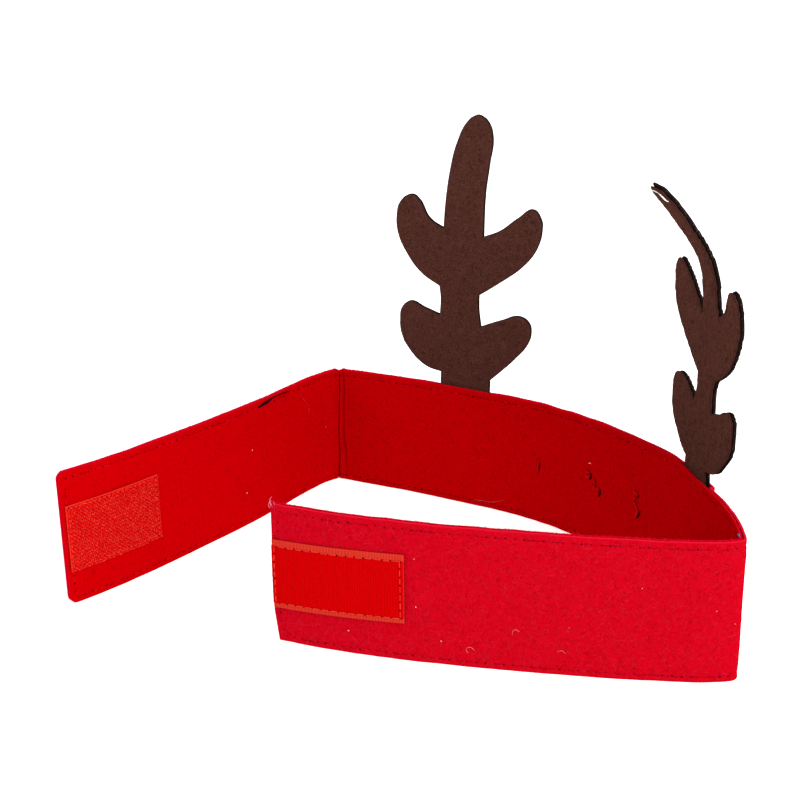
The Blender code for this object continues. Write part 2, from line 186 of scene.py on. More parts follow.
# Each antler's outline from its foot to its tip. Reaches are shares of the half width, out from the stem's
# middle, and heights are shares of the antler's height.
LEFT_OUTLINE = (
    # place, kind, left reach, left height, right reach, right height
    ("stem", "corner", 0.355, 0.045, 0.318, 0.040),
    ("lower belly", "round", 0.565, 0.057, 0.462, 0.082),
    ("lower belly", "round", 0.785, 0.104, 0.637, 0.137),
    ("lower side", "round", 0.920, 0.164, 0.812, 0.207),
    ("lower side", "round", 0.950, 0.223, 0.847, 0.254),
    ("lower shoulder", "round", 0.925, 0.270, 0.812, 0.286),
    ("lower tip", "round", 0.815, 0.298, 0.687, 0.305),
    ("lower crown", "round", 0.620, 0.282, 0.437, 0.279),
    ("notch", "corner", 0.390, 0.264, 0.167, 0.243),
    ("neck", "round", 0.385, 0.333, 0.132, 0.310),
    ("upper root", "corner", 0.405, 0.374, 0.127, 0.358),
    ("upper belly", "round", 0.655, 0.412, 0.417, 0.420),
    ("upper belly", "round", 0.880, 0.484, 0.692, 0.487),
    ("upper side", "round", 0.995, 0.550, 0.867, 0.560),
    ("upper side", "round", 1.015, 0.616, 0.922, 0.636),
    ("upper shoulder", "round", 0.970, 0.665, 0.902, 0.667),
    ("upper tip", "round", 0.820, 0.696, 0.792, 0.698),
    ("upper crown", "round", 0.720, 0.682, 0.627, 0.667),
    ("upper crown", "round", 0.570, 0.618, 0.362, 0.605),
    ("valley", "corner", 0.370, 0.588, 0.162, 0.577),
    ("top tine", "round", 0.350, 0.689, 0.167, 0.731),
    ("top tine", "round", 0.295, 0.812, 0.207, 0.837),
    ("top shoulder", "round", 0.222, 0.898, 0.237, 0.930),
    ("top crown", "round", 0.086, 0.978, 0.172, 0.980),
    ("tip", "round", -0.015, 1.000, 0.065, 1.000),
)
RIGHT_OUTLINE = (
    # place, kind, left reach, left height, right reach, right height
    ("stem", "corner", 0.280, 0.062, 0.262, 0.060),
    ("lower belly", "round", 0.420, 0.080, 0.520, 0.078),
    ("lower belly", "round", 0.600, 0.109, 0.778, 0.136),
    ("lower side", "round", 0.790, 0.152, 0.900, 0.175),
    ("lower side", "round", 0.870, 0.205, 0.944, 0.215),
    ("lower shoulder", "round", 0.864, 0.262, 0.935, 0.283),
    ("lower tip", "round", 0.795, 0.298, 0.860, 0.303),
    ("lower crown", "round", 0.686, 0.309, 0.758, 0.303),
    ("lower crown", "round", 0.494, 0.302, 0.560, 0.278),
    ("notch", "corner", 0.192, 0.255, 0.330, 0.258),
    ("neck", "round", 0.125, 0.300, 0.315, 0.310),
    ("upper root", "corner", 0.115, 0.358, 0.369, 0.361),
    ("upper belly", "round", 0.414, 0.412, 0.736, 0.430),
    ("upper belly", "round", 0.678, 0.466, 0.914, 0.504),
    ("upper side", "round", 0.905, 0.527, 0.965, 0.550),
    ("upper side", "round", 0.983, 0.602, 0.990, 0.603),
    ("upper shoulder", "round", 0.953, 0.636, 0.990, 0.640),
    ("upper tip", "round", 0.880, 0.662, 0.917, 0.679),
    ("upper crown", "round", 0.753, 0.680, 0.800, 0.677),
    ("upper crown", "round", 0.620, 0.665, 0.690, 0.650),
    ("upper crown", "round", 0.289, 0.590, 0.553, 0.596),
    ("valley", "corner", 0.055, 0.548, 0.385, 0.568),
    ("top tine", "round", 0.075, 0.620, 0.325, 0.614),
    ("top tine", "round", 0.048, 0.676, 0.363, 0.668),
    ("top tine", "round", 0.050, 0.730, 0.375, 0.725),
    ("top tine", "round", 0.140, 0.784, 0.290, 0.783),
    ("top tine", "round", 0.212, 0.835, 0.200, 0.834),
    ("top shoulder", "round", 0.200, 0.886, 0.175, 0.890),
    ("top crown", "round", 0.108, 0.952, 0.235, 0.965),
    ("tip", "round", -0.040, 1.006, 0.205, 1.022),
)


# Layout of the band

def panel_starts():
    """Length along the band at which each panel starts, and its whole length."""
    starts, reached = {}, 0.0
    names = list(PANELS)
    for name, following, radius in zip(names, names[1:] + [None], FOLD_RADII + (0.0,)):
        starts[name] = reached
        reached += PANELS[name]
        if following:
            here = [row[2] for row in BENDS if row[0] == name][-1]
            there = [row[2] for row in BENDS if row[0] == following][0]
            reached += radius * math.radians(abs(there - here))
    return starts, reached


STARTS, BAND_LENGTH = panel_starts()
BAND_MIDDLE = BAND_LENGTH / 2 + ANTLER_SHIFT
CREASE = (STARTS["left"] + LEFT_PANEL + STARTS["back"]) / 2
CORNER = (STARTS["back"] + BACK_PANEL + STARTS["front"]) / 2

Antler = namedtuple("Antler", "middle outline tilt sink bent")
ANTLERS = {
    "left": Antler(BAND_MIDDLE - ANTLER_SPACING / 2, LEFT_OUTLINE, 0.0, 0.0, False),
    "right": Antler(BAND_MIDDLE + ANTLER_SPACING / 2, RIGHT_OUTLINE, RIGHT_TILT, RIGHT_SINK, True),
}
POCKET_OPENING = ANTLER_FELT + ANTLER_CORE + 2 * TOUCH_GAP


def pocket_half(antler):
    """Half the length of band that lies over this antler's stem."""
    stem = antler.outline[0]
    return ANTLER_HALF_WIDTH * max(stem[2], stem[4]) + STEM_CLEARANCE


def table_along(table, column):
    """A table's column at lengths along the band, held steady across each stiff antler stem."""
    lengths = np.array([STARTS[row[0]] + row[1] * PANELS[row[0]] for row in table])
    values = np.array([row[column] for row in table])
    for antler in ANTLERS.values():
        steady = np.interp(antler.middle, lengths, values)
        low, high = antler.middle - pocket_half(antler), antler.middle + pocket_half(antler)
        keep = (lengths < low) | (lengths > high)
        lengths = np.concatenate((lengths[keep], (low, high)))
        values = np.concatenate((values[keep], (steady, steady)))
        order = np.argsort(lengths)
        lengths, values = lengths[order], values[order]
    return lengths, values


BEND_LENGTHS, BEND_HEADINGS = table_along(BENDS, 2)
LEAN_LENGTHS, LEAN_X = table_along(LEANS, 2)
_, LEAN_Y = table_along(LEANS, 3)


def walk_band():
    """Where the line between the plies runs on the ground, a small step at a time."""
    lengths = np.arange(0.0, BAND_LENGTH + 2 * PATH_STEP, PATH_STEP)
    headings = np.radians(np.interp(lengths + PATH_STEP / 2, BEND_LENGTHS, BEND_HEADINGS))
    x = np.concatenate(((0.0,), np.cumsum(np.cos(headings) * PATH_STEP)[:-1]))
    y = np.concatenate(((0.0,), np.cumsum(np.sin(headings) * PATH_STEP)[:-1]))
    return lengths, x, y


WALK, WALK_X, WALK_Y = walk_band()


def directions(along):
    """Unit vectors along the band, out from it and up its leaning face, at these lengths along it."""
    heading = np.radians(np.interp(along, BEND_LENGTHS, BEND_HEADINGS))
    lean_x = np.interp(along, LEAN_LENGTHS, LEAN_X)
    lean_y = np.interp(along, LEAN_LENGTHS, LEAN_Y)
    level = np.zeros_like(heading)
    forward = np.stack((np.cos(heading), np.sin(heading), level), -1)
    outward = np.stack((-np.sin(heading), np.cos(heading), level), -1)
    upward = np.stack((lean_x, lean_y, np.sqrt(1.0 - lean_x ** 2 - lean_y ** 2)), -1)
    return forward, outward, upward


def from_start(along, out, up):
    """Where flat points lie on the standing band, from the foot of its hook end."""
    along, out, up = np.broadcast_arrays(along, out, up)
    forward, outward, upward = directions(along)
    inside = np.clip(along, 0.0, BAND_LENGTH)
    foot = np.stack((np.interp(inside, WALK, WALK_X), np.interp(inside, WALK, WALK_Y), 0.0 * inside), -1)
    foot = foot + forward * (along - inside)[..., None]
    return foot + outward * out[..., None] + upward * up[..., None]


def hook_corner():
    """The hook patch's lowest corner in x and in y, which ties this layout to the solid one."""
    face = -TOUCH_GAP / 2 - FELT - TOUCH_GAP
    low = (BAND_HEIGHT - HOOK_HEIGHT) / 2
    along = np.array((HOOK_INSET, HOOK_INSET, HOOK_INSET, HOOK_INSET))
    out = np.array((face, face, face - HOOK_TAPE, face - HOOK_TAPE))
    up = np.array((low, low + HOOK_HEIGHT, low, low + HOOK_HEIGHT))
    return from_start(along, out, up).min(axis=0)


SHIFT = (np.array(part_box("hook_patch")[0]) - hook_corner()) * (1.0, 1.0, 0.0)


def on_band(along, out, up):
    """Where flat points lie on the standing band, in the headband's own frame."""
    return from_start(along, out, up) + SHIFT


def eased(share):
    """A smooth step from 0 to 1."""
    share = np.clip(share, 0.0, 1.0)
    return share * share * (3.0 - 2.0 * share)


def pocket(along, up):
    """How far the outer ply is parted from the inner one where it hugs the antler stems."""
    parted = np.zeros_like(along)
    for antler in ANTLERS.values():
        half = pocket_half(antler) - STEM_CLEARANCE + STEM_HUG
        foot = BAND_HEIGHT - STEM_DEPTH - antler.sink - STEM_HUG
        beside = eased(1.0 - (np.abs(along - antler.middle) - half) / POCKET_BLEND)
        below = eased(1.0 - (foot - up) / POCKET_BLEND)
        parted = np.maximum(parted, POCKET_OPENING * beside * below)
    return parted


def trimmed(along, up):
    """Pulls the loop end in to its slanted cut."""
    share = (along - (BAND_LENGTH - END_ZONE)) / END_ZONE
    pulled = np.interp(up / BAND_HEIGHT, [row[0] for row in END_CUT], [row[1] for row in END_CUT])
    return along - END_SLANT * pulled * np.maximum(0.0, share)


def lumps(x, y, size, seed, waves=12):
    """Soft unevenness of about -1 to 1, with lumps of this size: a few waves that run all ways."""
    draw = np.random.default_rng(seed)
    total = np.zeros_like(x)
    for _ in range(waves):
        turn, length, phase = draw.uniform(0, 2 * math.pi), size * draw.uniform(1.3, 3.2), draw.uniform(0, 7)
        total += np.sin(2 * math.pi * (x * math.cos(turn) + y * math.sin(turn)) / length + phase)
    return total / math.sqrt(waves)


def bell(distance, width):
    """A smooth bump of height 1 and about this half width."""
    return np.exp(-(distance / width) ** 2)


# Materials

def linear(hex_colour):
    """An sRGB hex colour as linear values."""
    shares = [int(hex_colour[place:place + 2], 16) / 255 for place in (1, 3, 5)]
    return tuple(s / 12.92 if s <= 0.04045 else ((s + 0.055) / 1.055) ** 2.4 for s in shares) + (1.0,)


def add(material, kind, inputs=None, **settings):
    """Adds a node to a material with its settings, and sets or links its inputs."""
    node = material.node_tree.nodes.new(kind)
    for name, value in settings.items():
        setattr(node, name, value)
    for name, value in (inputs or {}).items():
        if isinstance(value, bpy.types.NodeSocket):
            material.node_tree.links.new(value, node.inputs[name])
        else:
            node.inputs[name].default_value = value
    return node


def new_material(name, **constants):
    """A material with one shader, whose constant sockets are set on it."""
    material = bpy.data.materials.new(name)
    material.use_nodes = True
    shader = material.node_tree.nodes["Principled BSDF"]
    for socket, value in constants.items():
        shader.inputs[socket.replace("_", " ")].default_value = value
    return material, shader


def blend_colour(material, low, high, share):
    """Mixes two colours, or a colour and a socket, by a share."""
    mix = add(material, "ShaderNodeMix", {"Factor": share}, data_type="RGBA")
    for socket, value in ((mix.inputs[6], low), (mix.inputs[7], high)):
        if isinstance(value, bpy.types.NodeSocket):
            material.node_tree.links.new(value, socket)
        else:
            socket.default_value = value
    return mix.outputs[2]


def remap(material, value, low, high, to_low=0.0, to_high=1.0):
    """A value stretched smoothly from one range to another."""
    limits = {"Value": value, "From Min": low, "From Max": high, "To Min": to_low, "To Max": to_high}
    return add(material, "ShaderNodeMapRange", limits, interpolation_type="SMOOTHSTEP").outputs["Result"]


def maths(material, operation, first, second=0.0):
    """One sum on two values."""
    return add(material, "ShaderNodeMath", {0: first, 1: second}, operation=operation).outputs["Value"]


def fibre_streaks(material, place, length, spacing, line, turns):
    """Matted fibres lying all ways: thin curved lines of this length and spacing in mm, at several turns."""
    warp = add(material, "ShaderNodeTexNoise", {"Vector": place, "Scale": 0.16, "Detail": 1.0})
    bent = add(
        material, "ShaderNodeVectorMath",
        {0: warp.outputs["Color"], 1: (8.0, 8.0, 0.0), 2: place}, operation="MULTIPLY_ADD",
    )
    strongest = 0.0
    for turn in turns:
        lain = add(
            material, "ShaderNodeMapping",
            {"Vector": bent.outputs["Vector"], "Location": (turn, 3.1 * turn, 0.0),
             "Rotation": (0.0, 0.0, math.radians(turn)), "Scale": (length, spacing, 1.0)},
            vector_type="TEXTURE",
        )
        field = {"Vector": lain.outputs["Vector"], "Scale": 1.0, "Detail": 1.0}
        waves = add(material, "ShaderNodeTexNoise", field).outputs["Fac"]
        off_line = maths(material, "ABSOLUTE", maths(material, "SUBTRACT", waves, 0.5))
        strongest = maths(material, "MAXIMUM", remap(material, off_line, line, 0.0), strongest)
    return strongest


def textile(name, roughness, sheen, tint):
    """The start of a cloth material: itself, its shader, its place in mm and how far the cut edge is."""
    material, shader = new_material(
        name, Roughness=roughness, Sheen_Weight=sheen, Sheen_Roughness=0.5, Sheen_Tint=linear(tint),
        Specular_IOR_Level=0.0,
    )
    flat = add(material, "ShaderNodeAttribute", attribute_name="flat").outputs["Vector"]
    edge = add(material, "ShaderNodeAttribute", attribute_name="rim").outputs["Fac"]
    return material, shader, flat, edge


def dress(material, shader, colour, height, relief):
    """Puts a colour and a fine relief in mm on a shader."""
    bump = add(material, "ShaderNodeBump", {"Height": height, "Strength": 0.8, "Distance": relief * MM})
    material.node_tree.links.new(colour, shader.inputs["Base Color"])
    material.node_tree.links.new(bump.outputs["Normal"], shader.inputs["Normal"])
    return material


def noise(material, place, scale, detail=2.0, stretch=(1.0, 1.0, 1.0)):
    """Even noise about this many lumps to the mm, stretched to these lengths."""
    lain = add(material, "ShaderNodeMapping", {"Vector": place, "Scale": stretch}, vector_type="TEXTURE")
    field = {"Vector": lain.outputs["Vector"], "Scale": scale, "Detail": detail, "Roughness": 0.6}
    return add(material, "ShaderNodeTexNoise", field).outputs["Fac"]


def wool_felt(name, deep, body, fuzz, rim, streak_share, grain_share, sheen=0.1, relief=0.16):
    """Needled wool felt: matted fibres, pale where they stand up, over a deeper ground, and its cut edge,
    blended to a rim colour that is a painted highlight on the red felts.
    """
    material, shader, flat, edge = textile(name, 1.0, sheen, fuzz)
    # Real fibres are 0.02 to 0.03 mm thick; these are drawn at 0.2 mm so that they show.
    streaks = fibre_streaks(material, flat, 2.0, 0.55, 0.05, (12.0, 58.0, 101.0, 146.0))
    fine = noise(material, flat, 2.4, 4.0)
    cloud = noise(material, flat, 0.12, 3.0)
    # The card that laid the wool left a faint grain up the cloth.
    grain = noise(material, flat, 0.9, 3.0, (1.0, 14.0, 1.0))
    matted = remap(material, fine, 0.30, 0.70)
    patch = remap(material, cloud, 0.35, 0.65, 0.85, 1.0)
    ground = blend_colour(material, linear(deep), linear(body), matted)
    grain_here = maths(material, "MULTIPLY", remap(material, grain, 0.48, 0.70), grain_share)
    grained = blend_colour(material, ground, linear(deep), grain_here)
    stood = maths(material, "MULTIPLY", maths(material, "MULTIPLY", streaks, patch), streak_share)
    felted = blend_colour(material, grained, linear(fuzz), stood)
    # Towards the cut edge the colour goes to the rim colour: on the red felts a painted highlight where the
    # cut edge catches the light, on the brown felt a darker edge.
    colour = blend_colour(material, felted, linear(rim), remap(material, edge, 0.30, 0.05, 0.0, 0.8))
    return dress(material, shader, colour, fine, relief)


def speckled_core(name, brown, dark, grey):
    """The antler's core: dark with grey crumbs at its cut edge, and a plain brown front."""
    material, shader, flat, edge = textile(name, 0.9, 0.0, grey)
    crumbs = remap(material, noise(material, flat, 2.4, 2.0), 0.58, 0.70)
    coarse = remap(material, noise(material, flat, 0.35, 2.0), 0.42, 0.60)
    speckled = blend_colour(
        material, linear(dark), linear(grey), maths(material, "MULTIPLY", crumbs, coarse),
    )
    fine = noise(material, flat, 1.6, 4.0)
    plain = blend_colour(material, linear(brown[0]), linear(brown[1]), remap(material, fine, 0.30, 0.70))
    colour = blend_colour(material, plain, speckled, remap(material, edge, 0.7, 0.3))
    return dress(material, shader, colour, fine, 0.2)


def hook_weave(name, deep, body, pale):
    """The nylon ground of the hook tape: fine slanted rows of weave under the hooks."""
    material, shader, flat, edge = textile(name, 0.8, 0.0, pale)
    rows = add(
        material, "ShaderNodeTexWave", {"Vector": flat, "Scale": 0.36, "Distortion": 1.2, "Detail": 1.0},
        bands_direction="DIAGONAL",
    ).outputs["Fac"]
    fine = noise(material, flat, 2.2, 3.0)
    share = remap(material, maths(material, "ADD", maths(material, "MULTIPLY", rows, 0.4), fine), 0.5, 0.9)
    ground = blend_colour(material, linear(deep), linear(body), share)
    # The tape's fused edge is paler and ragged.
    ragged = maths(material, "ADD", edge, maths(material, "MULTIPLY", noise(material, flat, 0.9, 2.0), -0.9))
    colour = blend_colour(material, ground, linear(pale), remap(material, ragged, 0.0, -0.3, 0.0, 0.6))
    return dress(material, shader, colour, share, 0.15)


def loop_velour(name, deep, body, selvage, shade):
    """The loop tape: brushed plush with fine ribs up it, and a ribbed woven selvage along both long edges."""
    material, shader, flat, edge = textile(name, 0.9, 0.05, body)
    across = add(material, "ShaderNodeSeparateXYZ", {"Vector": flat}).outputs["Y"]
    from_middle = maths(material, "ABSOLUTE", maths(material, "SUBTRACT", across, LOOP_HEIGHT / MM / 2))
    plush_half = (LOOP_HEIGHT / 2 - LOOP_SELVAGE) / MM
    at_selvage = remap(material, from_middle, plush_half - 0.25, plush_half + 0.1)
    # A rib every 0.6 mm, as on real tape, and a plush line every 1.1 mm.
    rib_field = {"Vector": flat, "Scale": 0.52, "Distortion": 0.6, "Detail": 1.0}
    line_field = {"Vector": flat, "Scale": 0.29, "Distortion": 1.5, "Detail": 1.0}
    ribs = add(material, "ShaderNodeTexWave", rib_field).outputs["Fac"]
    lines = add(material, "ShaderNodeTexWave", line_field).outputs["Fac"]
    fine = noise(material, flat, 1.8, 3.0)
    plush_share = maths(material, "ADD", maths(material, "MULTIPLY", lines, 0.25), fine)
    plush = blend_colour(material, linear(deep), linear(body), remap(material, plush_share, 0.40, 0.85))
    # Across the selvage the colour goes from the shade colour in the rib grooves to the selvage colour on the
    # crests: painted shade along with the ribs' bump.
    woven = blend_colour(material, linear(shade), linear(selvage), remap(material, ribs, 0.15, 0.75))
    taped = blend_colour(material, plush, woven, at_selvage)
    colour = blend_colour(material, taped, linear(selvage), remap(material, edge, 0.25, 0.05, 0.0, 0.4))
    height = blend_colour(material, fine, ribs, at_selvage)
    return dress(material, shader, colour, height, 0.12)


def fibre_finish(name, low, high, roughness=0.7):
    """Loose fibres and thread, each one a shade of its own between two colours."""
    material, shader = new_material(name, Roughness=roughness, Specular_IOR_Level=0.0)
    tint = add(material, "ShaderNodeAttribute", attribute_name="tint").outputs["Fac"]
    colour = blend_colour(material, linear(low), linear(high), tint)
    material.node_tree.links.new(colour, shader.inputs["Base Color"])
    return material


# Making pieces

def show(name, mesh, finish, replaced=()):
    """Makes a mesh a shown piece of the headband."""
    for material in finish if isinstance(finish, (list, tuple)) else (finish,):
        mesh.materials.append(material)
    mesh.shade_smooth()
    piece = bpy.data.objects.new(name, mesh)
    bpy.context.scene.collection.objects.link(piece)
    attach(piece, "root")
    if replaced:
        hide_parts(*replaced)
    return piece


def store(mesh, name, kind, values):
    """Keeps a value of each point on the mesh, for its material to read."""
    field = "value" if kind == "FLOAT" else "vector"
    attribute = mesh.attributes.new(name, kind, "POINT")
    attribute.data.foreach_set(field, np.ascontiguousarray(values, np.float32).ravel())


Flat = namedtuple("Flat", "points faces borders rim")


def read_flat(mesh, rim_of):
    """A flat cut as arrays: its points, faces, border edges in the faces' own order, and rim distances."""
    mesh.verts.index_update()
    points = np.array([vertex.co[:2] for vertex in mesh.verts])
    faces = [[vertex.index for vertex in face.verts] for face in mesh.faces]
    borders = [
        (loop.vert.index, loop.link_loop_next.vert.index)
        for face in mesh.faces for loop in face.loops if loop.edge.is_boundary
    ]
    return Flat(points, faces, borders, rim_of(points))


def felt_piece(name, flat, near, far, finish, replaced, layer=0.0):
    """A closed felt piece from its flat cut: a near face, a far face and the cut edge between them."""
    count = len(flat.points)
    faces = [face[::-1] for face in flat.faces]
    faces += [[index + count for index in face] for face in flat.faces]
    faces += [(first, second, second + count, first + count) for first, second in flat.borders]
    mesh = bpy.data.meshes.new(name)
    mesh.from_pydata(np.concatenate((near, far)).tolist(), [], faces)
    level = np.full((count, 1), layer)
    store(mesh, "flat", "FLOAT_VECTOR", np.concatenate((np.hstack((flat.points / MM, level)),) * 2))
    store(mesh, "rim", "FLOAT", np.concatenate((flat.rim / MM,) * 2))
    shell = bmesh.new()
    shell.from_mesh(mesh)
    bmesh.ops.recalc_face_normals(shell, faces=shell.faces[:])
    shell.to_mesh(mesh)
    shell.free()
    return show(name, mesh, finish, replaced)


def grid_faces(index):
    """The four-sided faces of a grid of numbered points."""
    corners = index[:-1, :-1], index[1:, :-1], index[1:, 1:], index[:-1, 1:]
    return np.stack(corners, -1).reshape(-1, 4).tolist()


def rounding(rim):
    """How full the felt is near its cut edge, from a third at the edge to 1."""
    share = np.clip(rim / EDGE_ROUND, 0.0, 1.0)
    return 0.35 + 0.65 * np.sqrt(1.0 - (1.0 - share) ** 2)


def strands(name, paths, radii, finish, sides=3, tint=None):
    """Many threads or fibres as one piece: a closed thin tube round each path."""
    paths = np.asarray(paths, float)
    count, steps, _ = paths.shape
    radii = np.broadcast_to(radii, (count, steps))
    run = np.gradient(paths, axis=1)
    run /= np.linalg.norm(run, axis=-1, keepdims=True) + 1e-12
    across = np.cross(run, (0.31, 0.17, 0.93))
    across /= np.linalg.norm(across, axis=-1, keepdims=True) + 1e-12
    over = np.cross(run, across)
    turn = np.arange(sides) * 2 * math.pi / sides
    ring = across[:, :, None] * np.cos(turn)[:, None] + over[:, :, None] * np.sin(turn)[:, None]
    points = paths[:, :, None] + ring * radii[:, :, None, None]
    index = np.arange(count * steps * sides).reshape(count, steps, sides)
    beside = np.roll(index, -1, axis=2)
    walls = np.stack((index[:, :-1], beside[:, :-1], beside[:, 1:], index[:, 1:]), -1).reshape(-1, 4)
    caps = np.concatenate((index[:, 0, ::-1], index[:, -1]))
    mesh = bpy.data.meshes.new(name)
    mesh.from_pydata(points.reshape(-1, 3).tolist(), [], walls.tolist() + caps.tolist())
    shade = np.full(count, 0.5) if tint is None else np.asarray(tint)
    store(mesh, "tint", "FLOAT", np.repeat(shade, steps * sides))
    return show(name, mesh, finish)


# Band

def seam_grooves(along, up):
    """How deep the edge stitching pulls the felt in: a groove along each seam, deeper at the needle holes."""
    deep = np.zeros_like(along)
    beat = np.abs((along / STITCH + 0.5) % 1.0 - 0.5) * STITCH
    for seam in (BAND_HEIGHT - TOP_SEAM, BOTTOM_SEAM):
        line = bell(up - seam, 0.75 * MM)
        deep = np.maximum(deep, line * (0.16 + 0.34 * bell(beat, 0.7 * MM)))
    for seam in (END_SEAM, BAND_LENGTH - END_SEAM):
        within = eased((up - BOTTOM_SEAM) / MM) * eased((BAND_HEIGHT - TOP_SEAM - up) / MM)
        deep = np.maximum(deep, 0.22 * bell(along - seam, 0.8 * MM) * within)
    return deep * MM


# Folds pinched into the inner ply at the crease, from its line.
CREASE_FOLDS = (
    # offset mm, half width mm, height mm, spread at the foot mm
    (0.0, 0.45, -0.9, 0.3),
    (-1.3, 0.55, 0.60, -0.3),
    (1.2, 0.55, 0.75, 0.5),
    (-2.5, 0.50, -0.55, -1.4),
    (2.4, 0.50, -0.75, 1.6),
    (3.6, 0.60, 0.35, 2.4),
)


def crease_relief(along, up):
    """The pinched folds, which stand towards the head."""
    height = up / BAND_HEIGHT
    wander = 0.25 * MM * np.sin(9.0 * height) + 0.12 * MM * np.sin(23.0 * height + 1.0)
    relief = np.zeros_like(along)
    for offset, width, tall, spread in CREASE_FOLDS:
        line = CREASE + offset * MM + wander + spread * MM * (1.0 - height) ** 2
        relief += tall * MM * bell(along - line, width * MM) * (0.75 + 0.25 * np.sin(14.0 * height + offset))
    return relief


def face_relief(side, along, up):
    """How far a ply's showing face stands proud of its plain thickness."""
    fine = 0.035 * MM * lumps(along, up, 1.9 * MM, 11 + side)
    broad = 0.09 * MM * lumps(along, up, 11 * MM, 23 + side)
    relief = fine + broad - seam_grooves(along, up)
    if side < 0:
        relief = relief + crease_relief(along, up)
    return relief


def ply_out(side, along, up, above=0.0):
    """How far out from the line between the plies a ply's showing face is, and points above it."""
    out = TOUCH_GAP / 2 + FELT + face_relief(side, along, up) + above
    return side * out + (pocket(along, up) if side > 0 else 0.0)


def on_ply(side, along, up, above=0.0):
    """Points on a ply's showing face, or above it."""
    along, up, above = np.broadcast_arrays(np.asarray(along, float), np.asarray(up, float), above)
    return on_band(trimmed(along, up), ply_out(side, along, up, above), up)


def strip_rim(points):
    """Distance of the strip's points from its cut edge."""
    along, up = points.T
    rim = np.minimum(np.minimum(up, BAND_HEIGHT - up), np.minimum(along, BAND_LENGTH - along))
    from_corner = np.minimum(up, BAND_HEIGHT - up) - END_CORNER, along - END_CORNER
    in_corner = (from_corner[0] < 0) & (from_corner[1] < 0)
    return np.maximum(np.where(in_corner, END_CORNER - np.hypot(*from_corner), rim), 0.0)


def edge_steps(length, step):
    """Places along a length: close together at its two cut edges, and a step apart between."""
    close = np.array((0.0, 0.1, 0.25, 0.5)) * MM
    inner = np.arange(step, length - step / 2, step)
    return np.concatenate((close, inner[(inner > MM) & (inner < length - MM)], length - close[::-1]))


def band_strip():
    """The band's felt laid flat, its hook end's corners rounded, with closer rows at seams and folds."""
    columns = list(edge_steps(BAND_LENGTH, FELT_CELL))
    columns += [fold + step * 0.3 * MM for fold in (CREASE, CORNER) for step in range(-16, 17)]
    rows = list(edge_steps(BAND_HEIGHT, FELT_ROW))
    for seam in (BAND_HEIGHT - TOP_SEAM, BOTTOM_SEAM):
        rows = [row for row in rows if abs(row - seam) > 1.1 * MM or min(row, BAND_HEIGHT - row) < 0.9 * MM]
        rows += [seam + step * 0.45 * MM for step in (-2, -1, 0, 1, 2)]
    along, up = np.meshgrid(np.sort(columns), np.sort(rows), indexing="ij")
    reach = np.clip(END_CORNER - along, 0.0, END_CORNER)
    inset = END_CORNER - np.sqrt(END_CORNER ** 2 - reach ** 2)
    squeeze = 1.0 - inset / END_CORNER
    from_top = BAND_HEIGHT - up
    up = np.where(up < END_CORNER, inset + up * squeeze, up)
    up = np.where(from_top < END_CORNER, BAND_HEIGHT - inset - from_top * squeeze, up)
    index = np.arange(along.size).reshape(along.shape)
    mesh = bpy.data.meshes.new("strip")
    mesh.from_pydata(np.stack((along, up, 0 * up), -1).reshape(-1, 3).tolist(), [], grid_faces(index))
    strip = bmesh.new()
    strip.from_mesh(mesh)
    bmesh.ops.remove_doubles(strip, verts=strip.verts[:], dist=0.001 * MM)
    flat = read_flat(strip, strip_rim)
    strip.free()
    bpy.data.meshes.remove(mesh)
    return flat


def edge_waver(along, up):
    """How far the cut edges stray: the shears wander a little, and the top edge dips at the crease."""
    near_top = eased(1.0 - (BAND_HEIGHT - up) / (4.0 * MM))
    near_foot = eased(1.0 - up / (4.0 * MM))
    stray = 0.10 * MM * lumps(along, 0 * along, 7 * MM, 31) - 0.05 * MM
    shoulders = 0.25 * MM * bell(np.abs(along - CREASE) - 2.0 * MM, 1.0 * MM)
    dip = 0.9 * MM * bell(along - CREASE, 0.9 * MM) - shoulders
    return near_top * (stray - dip) + near_foot * (np.abs(stray) + 0.5 * dip)


def pocket_dip(side, along, up):
    """How far the outer ply's top edge is drawn down where it goes round a stem."""
    if side < 0:
        return 0.0 * along
    return 0.5 * pocket(along, up) * eased(1.0 - (BAND_HEIGHT - up) / (9.0 * MM))


def ply(name, side, strip, finish, node):
    """One felt ply of the band."""
    along, up = strip.points.T
    middle = TOUCH_GAP / 2 + FELT / 2
    half = FELT / 2 * rounding(strip.rim)
    parted = pocket(along, up) if side > 0 else 0.0
    relief = face_relief(side, along, up) * eased(strip.rim / (1.2 * MM))
    raised = up + edge_waver(along, up) - pocket_dip(side, along, up)
    pulled = trimmed(along, up)
    hidden = on_band(pulled, side * (middle - half) + parted, raised)
    showing = on_band(pulled, side * (middle + half + relief) + parted, raised)
    piece = felt_piece(name, strip, hidden, showing, finish, (node,), side * 3.0)
    return piece


def seam_runs():
    """The edge stitching as lines of needle holes: along the top, along the foot and up both ends."""
    holes = np.arange(1, int(BAND_LENGTH / STITCH)) * STITCH
    rises = np.arange(BOTTOM_SEAM + 3.0 * MM, BAND_HEIGHT - TOP_SEAM - 2.0 * MM, STITCH)
    return (
        (holes, np.full_like(holes, BAND_HEIGHT - TOP_SEAM)),
        (holes, np.full_like(holes, BOTTOM_SEAM)),
        (np.full_like(rises, END_SEAM), rises),
        (np.full_like(rises, BAND_LENGTH - END_SEAM), rises),
    )


def stitches(name, surface, runs, finish, radius=THREAD, sag=0.35 * MM, seed=5):
    """Straight stitches from hole to hole along runs of needle holes, dipping into the cloth at each."""
    draw = np.random.default_rng(seed)
    shares = np.array((0.03, 0.2, 0.5, 0.8, 0.97))
    sunk = np.array((-1.0, -0.15, 0.1, -0.15, -1.0)) * sag
    paths = []
    for along, up in runs:
        for start in range(len(along) - 1):
            stray = draw.normal(0.0, 0.05 * MM, 2)
            a = along[start] + (along[start + 1] - along[start]) * shares + stray[0]
            b = up[start] + (up[start + 1] - up[start]) * shares + stray[1]
            paths.append(surface(a, b, sunk))
    return strands(name, paths, radius, finish, sides=5, tint=draw.uniform(0, 1, len(paths)))


